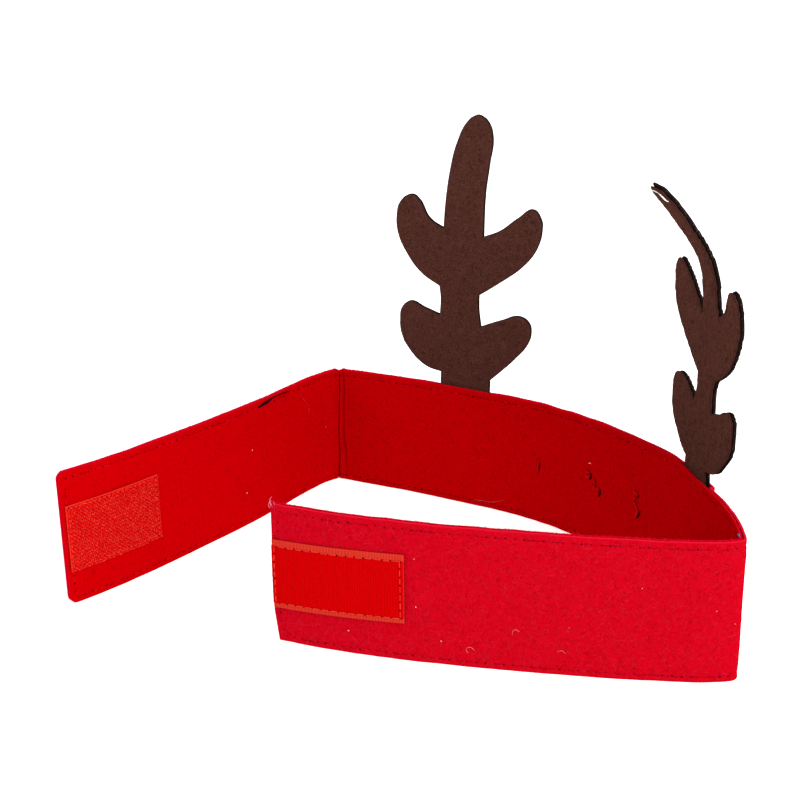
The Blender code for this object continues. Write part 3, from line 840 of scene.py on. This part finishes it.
def needle_holes(name, surface, runs, finish, radius=0.36 * MM, seed=6):
    """The holes that the needle left: a shallow eight-sided pit lining at each, coloured dark as painted
    shade in the hole.
    """
    draw = np.random.default_rng(seed)
    along = np.concatenate([run[0] for run in runs])
    up = np.concatenate([run[1] for run in runs])
    along = along + draw.normal(0.0, 0.12 * MM, along.size)
    up = up + draw.normal(0.0, 0.10 * MM, up.size)
    size = radius * draw.uniform(0.75, 1.2, along.size)
    turn = np.arange(8) * math.pi / 4
    ring_along = along[:, None] + size[:, None] * 1.15 * np.cos(turn)
    ring_up = up[:, None] + size[:, None] * np.sin(turn)
    ring = surface(ring_along, ring_up, 0.03 * MM)
    top = surface(along, up, 0.06 * MM)[:, None]
    foot = surface(along, up, -0.25 * MM)[:, None]
    points = np.concatenate((ring, top, foot), axis=1)
    faces = []
    for hole in range(along.size):
        first = hole * 10
        for side in range(8):
            a, b = first + side, first + (side + 1) % 8
            faces += [(a, b, first + 8), (b, a, first + 9)]
    mesh = bpy.data.meshes.new(name)
    mesh.from_pydata(points.reshape(-1, 3).tolist(), [], faces)
    pits = bmesh.new()
    pits.from_mesh(mesh)
    bmesh.ops.recalc_face_normals(pits, faces=pits.faces[:])
    pits.to_mesh(mesh)
    pits.free()
    store(mesh, "tint", "FLOAT", np.repeat(draw.uniform(0, 1, along.size), 10))
    return show(name, mesh, finish)


def loose_fibres(name, surface, region, count, length, lift, finish, seed, inside=None):
    """Loose fibres lying all ways on a face inside a region, each an arched thread drawn at random."""
    draw = np.random.default_rng(seed)
    steps = 4
    (low_x, high_x), (low_y, high_y) = region
    x = draw.uniform(low_x, high_x, count)
    y = draw.uniform(low_y, high_y, count)
    turn = draw.uniform(0, 2 * math.pi, count)
    bend = draw.normal(0.0, 0.6, count)
    stride = length * draw.uniform(0.35, 1.3, count) / (steps - 1)
    path = np.zeros((count, steps, 3))
    for step in range(steps):
        path[:, step] = np.stack((x, y, np.zeros(count)), -1)
        x = x + stride * np.cos(turn)
        y = y + stride * np.sin(turn)
        turn = turn + bend + draw.normal(0.0, 0.2, count)
    arch = np.sin(np.linspace(0.0, math.pi, steps))
    path[:, :, 2] = lift * draw.uniform(0.2, 1.0, (count, 1)) * arch
    ends_x, ends_y = path[:, :, 0], path[:, :, 1]
    kept = (ends_x > low_x) & (ends_x < high_x) & (ends_y > low_y) & (ends_y < high_y)
    if inside:
        kept &= inside(ends_x, ends_y)
    path = path[kept.all(axis=1)]
    tint = draw.uniform(0, 1, len(path)) ** 2
    return strands(name, surface(path[:, :, 0], path[:, :, 1], path[:, :, 2]), FIBRE, finish, tint=tint)


def edge_fuzz(name, count, finish, seed):
    """Short fibres standing out of the band's top cut edge."""
    draw = np.random.default_rng(seed)
    side = draw.choice((-1.0, 1.0), count)
    along = draw.uniform(0.5 * MM, BAND_LENGTH - 0.5 * MM, count)
    top = np.full(count, BAND_HEIGHT)
    parted = np.where(side > 0, pocket(along, top), 0.0)
    up = top + edge_waver(along, top) - np.where(side > 0, pocket_dip(1, along, top), 0.0)
    out = side * (TOUCH_GAP / 2 + FELT * draw.uniform(0.1, 0.9, count)) + parted
    rise = np.array((-0.3, 0.1, 0.6, 1.0)) * draw.uniform(0.2, 0.8, count)[:, None] * MM
    drift = np.linspace(0.0, 1.0, 4) * draw.normal(0.0, 0.7, count)[:, None] * MM
    sway = np.linspace(0.0, 1.0, 4) ** 2 * draw.normal(0.0, 0.3, count)[:, None] * MM
    reached = np.clip(along[:, None] + drift, 0.0, BAND_LENGTH)
    height = up[:, None] + rise
    paths = on_band(trimmed(reached, height), out[:, None] + sway, height)
    return strands(name, paths, 0.04 * MM, finish, tint=draw.uniform(0, 1, count))


def laid_threads(name, surface, routes, finish, steps=14, sides=5):
    """Single threads laid along given routes on a face, thinner at both ends."""
    paths, radii, tints = [], [], []
    for radius, tint, lift, points in routes:
        points = np.array(points) * MM
        reached = np.concatenate(((0.0,), np.cumsum(np.hypot(*np.diff(points, axis=0).T))))
        spots = np.linspace(0.0, reached[-1], steps)
        line = np.stack([np.interp(spots, reached, column) for column in points.T], -1)
        for _ in range(2):
            line[1:-1] = (line[:-2] + 2 * line[1:-1] + line[2:]) / 4
        arch = np.sin(np.linspace(0.0, math.pi, steps))
        above = lift * MM * np.sqrt(arch) * (0.8 + 0.2 * np.sin(np.arange(steps) * 2.1))
        paths.append(surface(line[:, 0], line[:, 1], above))
        radii.append(radius * MM * (0.4 + 0.6 * np.sqrt(arch)))
        tints.append(tint)
    return strands(name, paths, radii, finish, sides=sides, tint=tints)


def motes(name, surface, spots, finish, seed):
    """Seed-size crumbs and bits of lint lying on a face."""
    draw = np.random.default_rng(seed)
    routes = []
    for along, up, length, tint in spots:
        turn = draw.uniform(0, math.pi)
        x, y = length / 2 * math.cos(turn), length / 2 * math.sin(turn)
        routes.append((0.28 * min(length, 1.0), tint, 0.12, ((along - x, up - y), (along + x, up + y))))
    return laid_threads(name, surface, routes, finish, steps=5, sides=5)


# Antlers

def outline_points(outline):
    """The antler's outline, round from the left foot over the tip to the right foot."""
    left = [(-row[2] * ANTLER_HALF_WIDTH, row[3] * ANTLER_HEIGHT, row[1]) for row in outline]
    right = [(row[4] * ANTLER_HALF_WIDTH, row[5] * ANTLER_HEIGHT, row[1]) for row in outline]
    foot_left = (left[0][0], -STEM_DEPTH, "corner")
    foot_right = (right[0][0], -STEM_DEPTH, "corner")
    return [foot_left] + left + right[::-1] + [foot_right]


def smooth_outline(antler, steps=8):
    """The outline as one closed smooth line of points."""
    curve = bpy.data.curves.new("outline", "CURVE")
    curve.dimensions = "2D"
    points = outline_points(antler.outline)
    spline = curve.splines.new("BEZIER")
    spline.use_cyclic_u = True
    spline.bezier_points.add(len(points) - 1)
    for target, (reach, height, kind) in zip(spline.bezier_points, points):
        target.co = (reach, height, 0.0)
        target.handle_left_type = target.handle_right_type = "VECTOR" if kind == "corner" else "AUTO"
    guide = bpy.data.objects.new("outline", curve)
    bpy.context.scene.collection.objects.link(guide)
    bpy.context.view_layer.update()
    knots = list(spline.bezier_points)
    line = []
    for here, there in zip(knots, knots[1:] + knots[:1]):
        line += interpolate_bezier(here.co, here.handle_right, there.handle_left, there.co, steps + 1)[:-1]
    line = [Vector(point) for point in line]
    bpy.data.objects.remove(guide)
    bpy.data.curves.remove(curve)
    return line


def distance_to_line(points, line):
    """Distance of flat points from a closed line."""
    line = np.array([point[:2] for point in line])
    start, run = line, np.roll(line, -1, axis=0) - line
    nearest = np.full(len(points), np.inf)
    for (sx, sy), (rx, ry) in zip(start, run):
        share = ((points[:, 0] - sx) * rx + (points[:, 1] - sy) * ry) / (rx * rx + ry * ry + 1e-18)
        share = np.clip(share, 0.0, 1.0)
        gap = np.hypot(points[:, 0] - sx - share * rx, points[:, 1] - sy - share * ry)
        nearest = np.minimum(nearest, gap)
    return nearest


def antler_cut(antler):
    """The antler's felt laid flat: its outline, two narrow borders inside it and a grid between."""
    line = smooth_outline(antler)
    sheet = bmesh.new()
    sheet.faces.new([sheet.verts.new(point) for point in line])
    for border in (0.15 * MM, 0.35 * MM):
        widest = max(sheet.faces, key=lambda face: face.calc_area())
        bmesh.ops.inset_region(sheet, faces=[widest], thickness=border, use_even_offset=True)
    widest_reach = 1.1 * ANTLER_HALF_WIDTH
    for axis, low, high in ((0, -widest_reach, widest_reach), (1, -STEM_DEPTH, ANTLER_HEIGHT)):
        for place in np.arange(low + ANTLER_CELL, high, ANTLER_CELL):
            spot = [0.0, 0.0, 0.0]
            spot[axis] = place
            normal = [0.0, 0.0, 0.0]
            normal[axis] = 1.0
            geometry = sheet.verts[:] + sheet.edges[:] + sheet.faces[:]
            bmesh.ops.bisect_plane(sheet, geom=geometry, dist=0.001 * MM, plane_co=spot, plane_no=normal)
    flat = read_flat(sheet, lambda points: distance_to_line(points, line))
    sheet.free()
    return flat


def on_antler(antler, reach, height, out):
    """Where points of a flat antler go: tipped and sunk in its own plane, bent, and stood on the band."""
    tilt = math.radians(antler.tilt)
    reach, height = (
        reach * math.cos(tilt) - height * math.sin(tilt),
        reach * math.sin(tilt) + height * math.cos(tilt) - antler.sink,
    )
    turned = np.zeros_like(reach)
    if antler.bent:
        turned = math.radians(RIGHT_TURN) * eased(height / RIGHT_TURN_RISE)
        share = np.clip((height - RIGHT_TWIST_START) / (ANTLER_HEIGHT - RIGHT_TWIST_START), 0.0, 1.0)
        twist = math.radians(RIGHT_TWIST) * share
        reach, out = reach * np.cos(twist) - out * np.sin(twist), out * np.cos(twist) + reach * np.sin(twist)
        curl = np.maximum(0.0, height - RIGHT_CURL_START) / RIGHT_CURL_RADIUS
        spoke = RIGHT_CURL_RADIUS + out
        curled = height > RIGHT_CURL_START
        out = np.where(curled, spoke * np.cos(curl) - RIGHT_CURL_RADIUS, out)
        height = np.where(curled, RIGHT_CURL_START + spoke * np.sin(curl), height)
        lean = math.radians(RIGHT_LEAN) * eased(height / RIGHT_TURN_RISE)
        out, height = (
            out * np.cos(lean) - height * np.sin(lean),
            height * np.cos(lean) + out * np.sin(lean),
        )
    forward, outward, upward = directions(np.array(antler.middle))
    root = on_band(np.array(antler.middle), 0.0, BAND_HEIGHT)
    cos, sin = np.cos(turned)[..., None], np.sin(turned)[..., None]
    across = forward * cos + outward * sin
    facing = outward * cos - forward * sin
    return root + across * reach[..., None] + upward * height[..., None] + facing * out[..., None]


def antler_layer(side, layer, near, thickness, flat, finish, seed):
    """One layer of an antler between its two faces."""
    antler = ANTLERS[side]
    reach, height = flat.points.T
    half = thickness / 2 * rounding(flat.rim)
    uneven = 0.05 * MM * lumps(reach, height, 2.2 * MM, seed) * eased(flat.rim / MM)
    inner = on_antler(antler, reach, height, near + thickness / 2 - half - uneven)
    outer = on_antler(antler, reach, height, near + thickness / 2 + half)
    node = side + "_antler_" + layer
    piece = felt_piece(side + "_antler_" + finish.name, flat, outer, inner, finish, (node,), seed)
    width = np.ptp(reach)
    length = np.ptp(height)
    area = flat_area(flat)
    return piece


def flat_area(flat):
    """Area of a flat cut."""
    x, y = flat.points.T
    total = 0.0
    for face in flat.faces:
        fx, fy = x[face], y[face]
        total += 0.5 * abs(np.dot(fx, np.roll(fy, -1)) - np.dot(fy, np.roll(fx, -1)))
    return float(total)


# Patches

Patch = namedtuple("Patch", "kind side start length low height rise thickness")
PATCHES = {
    "hook": Patch(
        "hook", -1, HOOK_INSET, HOOK_LENGTH, (BAND_HEIGHT - HOOK_HEIGHT) / 2, HOOK_HEIGHT, 0.0, HOOK_GROUND,
    ),
    "loop": Patch(
        "loop", 1, BAND_LENGTH - LOOP_INSET - LOOP_LENGTH, LOOP_LENGTH, (BAND_HEIGHT - LOOP_HEIGHT) / 2,
        LOOP_HEIGHT, LOOP_RISE, LOOP_TAPE,
    ),
}


def on_patch(patch, x, y, above):
    """Points on a patch, from its lower left corner and above the felt it lies on."""
    x, y, above = np.broadcast_arrays(np.asarray(x, float), np.asarray(y, float), above)
    along = patch.start + x
    up = patch.low + y + patch.rise * (1.0 - x / patch.length)
    return on_band(trimmed(along, up), patch.side * (TOUCH_GAP / 2 + FELT + TOUCH_GAP + above), up)


def patch_rim(patch, x, y):
    """Distance from a patch's edge."""
    return np.minimum(np.minimum(x, patch.length - x), np.minimum(y, patch.height - y))


def patch_top(patch, x, y):
    """How thick a patch is at points of it: thinner along a woven selvage, and pulled in at its seam."""
    rim = patch_rim(patch, x, y)
    seam = PATCH_SEAM[patch.kind]
    top = patch.thickness - 0.16 * MM * bell(rim - seam, 0.5 * MM)
    top = top + 0.04 * MM * lumps(x, y, 2 * MM, 3)
    if patch.kind == "loop":
        from_long_edge = np.minimum(y, patch.height - y)
        top = top - 0.55 * MM * eased((LOOP_SELVAGE + 0.3 * MM - from_long_edge) / (0.6 * MM))
        top = top + 0.05 * MM * np.cos(2 * math.pi * x / (1.1 * MM))
    return top


def tape_patch(name, patch, finish, node, cell):
    """A patch of tape lying on a ply, with its own face relief."""
    length, height = patch.length, patch.height
    close = 0.15 * MM
    columns, rows = (
        np.concatenate(((0.0, close), np.arange(cell, size - cell / 2, cell), (size - close, size)))
        for size in (length, height)
    )
    x, y = np.meshgrid(columns, rows, indexing="ij")
    index = np.arange(x.size).reshape(x.shape)
    faces = grid_faces(index)
    border = [*index[:, 0], *index[-1, 1:], *index[-2::-1, -1], *index[0, -2:0:-1]]
    borders = list(zip(border, border[1:] + border[:1]))
    x, y = x.ravel(), y.ravel()
    rim = patch_rim(patch, x, y)
    flat = Flat(np.stack((x, y), -1), faces, borders, rim)
    under = on_patch(patch, x, y, 0.0)
    over = on_patch(patch, x, y, patch_top(patch, x, y) * rounding(rim))
    piece = felt_piece(name, flat, under, over, finish, (node,), patch.side)
    return piece


def patch_seam(patch, name, thread, painted_shade, seed):
    """The stitching round a patch, with its needle holes."""
    pitch, seam = PATCH_STITCH[patch.kind], PATCH_SEAM[patch.kind]
    end = 1.4 * MM if patch.kind == "loop" else seam
    across = np.arange(end, patch.length - end + pitch / 2, pitch)
    rising = np.arange(seam, patch.height - seam + pitch / 2, pitch)
    runs = [(across, np.full_like(across, level)) for level in (seam, patch.height - seam)]
    runs += [(np.full_like(rising, place), rising) for place in (end, patch.length - end)]

    def surface(x, y, above):
        return on_patch(patch, x, y, patch_top(patch, np.asarray(x, float), np.asarray(y, float)) + above)
    stitches(name + "_stitches", surface, runs, thread, radius=0.14 * MM, sag=0.25 * MM, seed=seed)
    needle_holes(name + "_needle_holes", surface, runs, painted_shade, radius=0.30 * MM, seed=seed + 1)


def tape_hooks(patch, finish, seed):
    """The hook tape's small bent hooks, in rows that turn opposite ways."""
    draw = np.random.default_rng(seed)
    margin = 0.35 * MM
    columns = np.arange(margin, patch.length - margin, HOOK_PITCH)
    rows = np.arange(margin, patch.height - margin, HOOK_ROW)
    x, y = np.meshgrid(columns, rows, indexing="ij")
    row = np.arange(x.shape[1])
    x = x + 0.35 * HOOK_PITCH * (row % 3)
    facing = np.broadcast_to(np.where(row % 2 == 0, 1.0, -1.0), x.shape).ravel()
    x = x.ravel() + draw.normal(0.0, 0.12 * MM, x.size)
    y = y.ravel() + draw.normal(0.0, 0.10 * MM, y.size)
    at_seam = np.abs(patch_rim(patch, x, y) - PATCH_SEAM["hook"]) < 0.45 * MM
    kept = ~at_seam & (x < patch.length - 0.4 * MM)
    x, y, facing = x[kept], y[kept], facing[kept]
    turn = draw.normal(0.35, 0.35, x.size)
    tall = draw.uniform(0.8, 1.1, x.size)[:, None]
    reach = np.array((0.0, 0.02, 0.16, 0.40, 0.52)) * MM * facing[:, None]
    rise = np.array((0.35, 0.85, 1.12, 1.10, 0.88)) * MM * tall
    along = x[:, None] + reach * np.cos(turn)[:, None]
    up = y[:, None] + reach * np.sin(turn)[:, None]
    strands("tape_hooks", on_patch(patch, along, up, rise), 0.10 * MM, finish,
            tint=draw.uniform(0, 1, x.size) ** 1.5)


# Stage

def stage():
    """A backlit white table, soft light all round and a camera at the photograph's angle."""
    bpy.ops.mesh.primitive_plane_add(size=6.0)
    floor = bpy.context.object
    floor.name = "floor"
    material, _ = new_material(
        "backlit_white_acrylic", Base_Color=(0.93, 0.93, 0.93, 1.0), Roughness=0.9, Specular_IOR_Level=0.0,
        Emission_Color=(1.0, 1.0, 1.0, 1.0), Emission_Strength=0.45,
    )
    floor.data.materials.append(material)
    world = bpy.data.worlds.new("soft_daylight")
    world.use_nodes = True
    world.node_tree.nodes["Background"].inputs["Color"].default_value = (1.0, 1.0, 1.0, 1.0)
    world.node_tree.nodes["Background"].inputs["Strength"].default_value = 1.05
    bpy.context.scene.world = world
    for name, place, size, power in (
        ("key_softbox", (1.2, -1.1, 1.4), 1.2, 44.0),
        ("fill_softbox", (-1.4, -0.8, 1.0), 1.2, 6.0),
    ):
        light = bpy.data.lights.new(name, "AREA")
        light.size = size
        light.energy = power
        lamp = bpy.data.objects.new(name, light)
        lamp.location = place
        lamp.rotation_euler = (-Vector(place)).to_track_quat("-Z", "Y").to_euler()
        bpy.context.scene.collection.objects.link(lamp)
    view = bpy.data.cameras.new("camera")
    view.sensor_width = SENSOR_WIDTH
    view.lens = FOCAL_PIXELS / PHOTO_SIZE * SENSOR_WIDTH
    view.clip_start = 0.01
    camera = bpy.data.objects.new("camera", view)
    camera.location = CAMERA_PLACE
    camera.rotation_euler = (math.radians(90.0 - CAMERA_PITCH), 0.0, 0.0)
    bpy.context.scene.collection.objects.link(camera)
    bpy.context.scene.camera = camera
    bpy.context.scene.view_settings.view_transform = "Standard"


def on_inner(along, up, above):
    """Points on the inner ply's showing face, or above it."""
    return on_ply(-1, along, up, above)


def on_outer(along, up, above):
    """Points on the outer ply's showing face, or above it."""
    return on_ply(1, along, up, above)


def build_band():
    """The two plies with their stitching, needle holes and loose fibres."""
    strip = band_strip()
    # The inner ply is the same wool as the outer one, given less pale fuzz and duller loose fibres: partly
    # its smoother face, partly painted shade for the inside of the band.
    inner_felt = wool_felt(
        "inner_wool_felt", "#900000", "#A20001", "#B2000C", "#B00010", 0.35, 0.5, 0.0, 0.14,
    )
    outer_felt = wool_felt(
        "outer_wool_felt", "#920008", "#A0000A", "#BA0C24", "#BE1430", 0.45, 0.1, 0.0, 0.07,
    )
    ply("inner_ply", -1, strip, inner_felt, "inner_band")
    ply("outer_ply", 1, strip, outer_felt, "outer_band")
    thread = fibre_finish("red_polyester_thread", "#78000A", "#B00A1C", 0.6)
    painted_shade = fibre_finish("needle_hole_shade", "#1E0003", "#400006", 1.0)
    runs = seam_runs()
    for surface, word in ((on_inner, "inner"), (on_outer, "outer")):
        stitches(word + "_edge_stitches", surface, runs, thread, seed=40 + len(word))
        needle_holes(word + "_needle_holes", surface, runs, painted_shade, seed=50 + len(word))
    fuzz = fibre_finish("loose_red_wool", "#AC0010", "#C82440", 0.9)
    # Duller loose fibres for the inside of the band: partly painted shade.
    inner_fuzz_shaded = fibre_finish("loose_inner_wool", "#9C0002", "#B40C18", 0.9)
    high = BAND_HEIGHT - 0.4 * MM
    front = ((STARTS["front"] - 6 * MM, BAND_LENGTH - 0.3 * MM), (0.4 * MM, high))
    rear = ((0.3 * MM, STARTS["front"] - 6 * MM), (0.4 * MM, high))
    whole = ((0.3 * MM, BAND_LENGTH - 0.3 * MM), (0.4 * MM, high))
    loose_fibres("front_fibres", on_outer, front, FRONT_FIBRES, 2.4 * MM, 0.08 * MM, fuzz, 71)
    loose_fibres("rear_fibres", on_outer, rear, REAR_FIBRES, 3.0 * MM, 0.08 * MM, fuzz, 72)
    loose_fibres("inner_fibres", on_inner, whole, INNER_FIBRES, 3.0 * MM, 0.08 * MM, inner_fuzz_shaded, 73)
    edge_fuzz("top_edge_fuzz", TOP_EDGE_FIBRES, fuzz, 74)


def build_antlers():
    """The two antlers, brown felt on a dark core."""
    brown = wool_felt("brown_wool_felt", "#26120D", "#351A15", "#5A3830", "#2A1713", 0.50, 0.5, 0.45, 0.14)
    dark = speckled_core("dark_foam_core", ("#27120D", "#351914"), "#171211", "#544C46")
    lint = fibre_finish("loose_brown_wool", "#341A14", "#5C382E", 0.9)
    felt_near = TOUCH_GAP / 2
    core_near = felt_near + ANTLER_FELT + TOUCH_GAP
    for seed, (side, antler) in enumerate(ANTLERS.items()):
        flat = antler_cut(antler)
        antler_layer(side, "felt", felt_near, ANTLER_FELT, flat, brown, 80 + seed)
        antler_layer(side, "core", core_near, CORE_SHOWN[side], flat, dark, 90 + seed)
        outline = np.array([point[:2] for point in smooth_outline(antler)])

        def inside(reach, height, outline=outline):
            return within(reach, height, outline)

        def surface(reach, height, above, antler=antler):
            return on_antler(antler, reach, height, felt_near - above)
        region = ((-1.1 * ANTLER_HALF_WIDTH, 1.1 * ANTLER_HALF_WIDTH), (2 * MM, ANTLER_HEIGHT))
        loose_fibres(
            side + "_antler_fibres", surface, region, ANTLER_FIBRES, 2.4 * MM, 0.12 * MM, lint, 100 + seed,
            inside,
        )


def within(x, y, line):
    """Whether points lie inside a closed line: a ray from each then crosses it an odd number of times."""
    crossed = np.zeros(np.shape(x), int)
    for (ax, ay), (bx, by) in zip(line, np.roll(line, -1, axis=0)):
        spans = (ay > y) != (by > y)
        crossing = ax + (y - ay) * (bx - ax) / (by - ay if by != ay else 1e-12)
        crossed += spans & (x < crossing)
    return crossed % 2 == 1


def build_patches():
    """The hook patch inside the left end and the loop patch outside the front end."""
    weave = hook_weave("hook_tape_nylon", "#A00404", "#C01010", "#C83424")
    velour = loop_velour("loop_tape_velour", "#960002", "#AA0203", "#BE3424", "#8E1410")
    # The hooks run at random from orange red to a pale tone: partly pale specks in the nylon, partly painted
    # highlights on the hooks.
    bent = fibre_finish("nylon_hooks", "#BC0C0C", "#EC5444", 0.6)
    thread = fibre_finish("patch_thread", "#B82A20", "#CC4030", 0.6)
    painted_shade = fibre_finish("patch_hole_shade", "#300004", "#5A0408", 1.0)
    tape_patch("hook_tape", PATCHES["hook"], weave, "hook_patch", 0.8 * MM)
    tape_patch("loop_tape", PATCHES["loop"], velour, "loop_patch", 0.5 * MM)
    tape_hooks(PATCHES["hook"], bent, 61)
    patch_seam(PATCHES["hook"], "hook_patch", thread, painted_shade, 62)
    patch_seam(PATCHES["loop"], "loop_patch", thread, painted_shade, 64)


# Small marks, at their places along the band and up it in mm.
TACKS = (
    # radius, shade, lift, route
    (0.26, 0.7, 0.5, ((272.5, 33.5), (273.2, 30.5), (272.6, 27.0), (273.0, 23.8))),
    (0.50, 0.9, 0.9, ((299.6, 35.2), (301.6, 34.8), (302.6, 34.2))),
    (0.55, 1.0, 1.0, ((300.2, 34.4), (301.4, 32.0), (302.6, 33.6))),
    (0.46, 0.8, 0.9, ((304.8, 32.4), (306.2, 30.4), (305.6, 28.4), (307.4, 27.6))),
    (0.50, 1.0, 1.0, ((307.0, 29.2), (308.6, 28.0), (307.6, 25.2))),
    (0.46, 0.9, 0.9, ((329.4, 35.6), (331.8, 35.2), (332.4, 34.4))),
    (0.42, 0.8, 0.9, ((331.2, 33.0), (330.4, 31.0), (331.8, 29.4))),
    (0.46, 1.0, 0.9, ((331.4, 29.0), (333.2, 27.2), (332.4, 24.6), (331.0, 23.2))),
)
# Dark strands laid flat beside the tacks: painted shadows of the tack threads.
TACK_SHADOWS = (
    (0.50, 0.3, 0.02, ((302.8, 34.6), (303.4, 32.8), (302.4, 31.2))),
    (0.45, 0.3, 0.02, ((309.0, 28.6), (309.2, 26.4), (308.2, 24.6))),
    (0.40, 0.5, 0.02, ((305.0, 30.4), (304.6, 28.8))),
    (0.45, 0.3, 0.02, ((334.2, 27.6), (333.8, 25.4), (332.4, 23.2))),
    (0.40, 0.4, 0.02, ((332.6, 34.8), (332.0, 32.6))),
    (0.28, 0.6, 0.02, ((273.8, 31.0), (273.4, 26.0))),
)
TACK_BARS = tuple((0.2, 0.4, 0.25, ((place, 33.6), (place, 24.0))) for place in (272.8, 301.5, 307.0, 331.8))
PALE_FIBRES_INSIDE = (
    (0.05, 0.2, 0.2, ((239.0, 2.5), (243.0, 3.4), (249.0, 3.6), (255.0, 6.2))),
    (0.035, 0.0, 0.1, ((140.7, 55.5), (142.6, 51.6), (145.2, 48.7), (147.3, 46.0), (147.2, 41.2))),
    (0.16, 1.0, 0.3, ((301.2, 39.1), (302.1, 39.4), (302.9, 39.2))),
)
# Dark strands along the left panel's top edge on the inner face: painted shadow of a gap where the plies
# part.
DARK_MARK = (
    (0.55, 0.0, 0.05, ((110.8, 57.0), (113.5, 57.2), (117.0, 57.9), (120.5, 58.5))),
    (0.45, 0.2, 0.05, ((112.5, 57.9), (117.0, 58.5), (122.5, 59.1))),
    (0.30, 0.3, 0.05, ((119.5, 58.6), (123.5, 59.0), (128.0, 58.9), (133.0, 58.2))),
)
BLUE_THREAD = ((0.30, 0.5, 0.35, ((427.6, 58.9), (428.7, 60.1), (430.2, 60.5), (431.3, 59.9))),)
SPECKS_INSIDE = (
    # along, up, length, shade
    (106.0, 37.2, 0.6, 0.5), (101.5, 16.8, 0.6, 0.6), (12.8, 22.5, 0.6, 0.8), (159.0, 31.0, 0.4, 0.4),
)
SPECKS_OUTSIDE = (
    (441.8, 31.2, 0.5, 0.2), (434.5, 25.2, 0.5, 0.2), (556.5, 24.3, 0.6, 0.6), (546.5, 10.5, 0.6, 0.5),
    (557.0, 45.0, 0.5, 0.4), (470.0, 40.0, 0.4, 0.5), (497.0, 21.0, 0.4, 0.3), (584.0, 10.0, 0.6, 0.8),
)


# The glue line at the right antler's tip, across and up the antler in mm.
GLUE_LINE = (
    (0.20, 0.9, 0.30, ((2.2, 129.3), (4.6, 130.6), (6.6, 130.4), (7.3, 128.6))),
    (0.32, 1.0, 0.40, ((7.3, 128.8), (7.9, 126.8), (7.0, 125.0), (7.6, 123.6))),
)
# Frayed fibres at the front end and on the front, and the thread ends at the hook end.
FRAYED_END = (
    (0.16, 0.1, 0.3, ((615.4, 58.6), (615.7, 60.2), (615.2, 61.6))),
    (0.14, 0.3, 0.4, ((615.0, 59.0), (615.9, 60.4), (615.6, 62.2), (615.0, 63.0))),
    (0.16, 0.0, 0.4, ((614.0, 59.2), (613.7, 60.6), (614.5, 61.4))),
    (0.14, 0.2, 0.2, ((615.8, 58.0), (616.5, 59.0), (616.4, 60.4))),
    (0.14, 0.0, 0.3, ((614.6, 58.4), (615.4, 60.2), (616.2, 60.8))),
    (0.09, 0.0, 0.2, ((615.8, 41.5), (616.6, 42.0), (616.8, 42.8))),
    (0.09, 0.1, 0.2, ((615.8, 32.8), (616.6, 33.4), (616.5, 34.2))),
    (0.09, 0.0, 0.2, ((615.8, 28.2), (616.6, 28.8), (616.8, 29.6))),
    (0.10, 0.0, 0.3, ((615.6, 13.6), (618.2, 13.4), (620.2, 12.0), (621.0, 10.2))),
)
CURLED_FIBRES = (
    (0.05, 0.4, 0.2, ((516.0, 17.6), (517.4, 18.8), (518.8, 17.8), (518.4, 16.2))),
    (0.05, 0.3, 0.2, ((497.8, 9.6), (499.4, 11.2), (501.4, 10.4))),
    (0.05, 0.5, 0.2, ((533.2, 7.6), (534.6, 9.2), (536.4, 9.0), (536.8, 7.2), (535.6, 6.4))),
)


def build_marks():
    """The tacks that hold the stems with their painted shadows, stray threads, lint, and the painted shadow
    of a gap at the left panel's top edge.
    """
    tack = fibre_finish("tacking_thread", "#8C0004", "#C0080C", 0.7)
    pale = fibre_finish("pale_fibre", "#C0405A", "#F0D0D0", 0.8)
    gap_shadow = fibre_finish("dark_mark", "#16040A", "#34060E", 1.0)
    blue = fibre_finish("blue_thread", "#2E4E96", "#4A70B8", 0.7)
    lint = fibre_finish("lint", "#9A7A38", "#D8D8C8", 0.8)
    painted_shade = fibre_finish("tack_shade", "#240004", "#4A0006", 1.0)
    laid_threads("stem_tacks", on_inner, TACKS, tack)
    # Painted shadows beside the tacks.
    laid_threads("stem_tack_shadows", on_inner, TACK_SHADOWS, painted_shade)
    laid_threads("stem_tack_bars", on_outer, TACK_BARS, tack)
    laid_threads("pale_fibres", on_inner, PALE_FIBRES_INSIDE, pale, sides=3)
    laid_threads("dark_edge_mark", on_inner, DARK_MARK, gap_shadow)
    laid_threads("blue_thread", on_inner, BLUE_THREAD, blue)
    laid_threads("frayed_end", on_outer, FRAYED_END, pale, sides=3)
    laid_threads("curled_fibres", on_outer, CURLED_FIBRES, pale, sides=3)
    glue = fibre_finish("dried_glue", "#B8B0AC", "#F2F0EE", 0.4)
    right = ANTLERS["right"]

    def antler_face(reach, height, above):
        return on_antler(right, reach, height, TOUCH_GAP / 2 - above)
    laid_threads("tip_glue", antler_face, GLUE_LINE, glue)
    motes("inner_lint", on_inner, SPECKS_INSIDE, lint, 121)
    motes("outer_lint", on_outer, SPECKS_OUTSIDE, lint, 122)


stage()
build_band()
build_antlers()
build_patches()
build_marks()
bpy.context.view_layer.update()
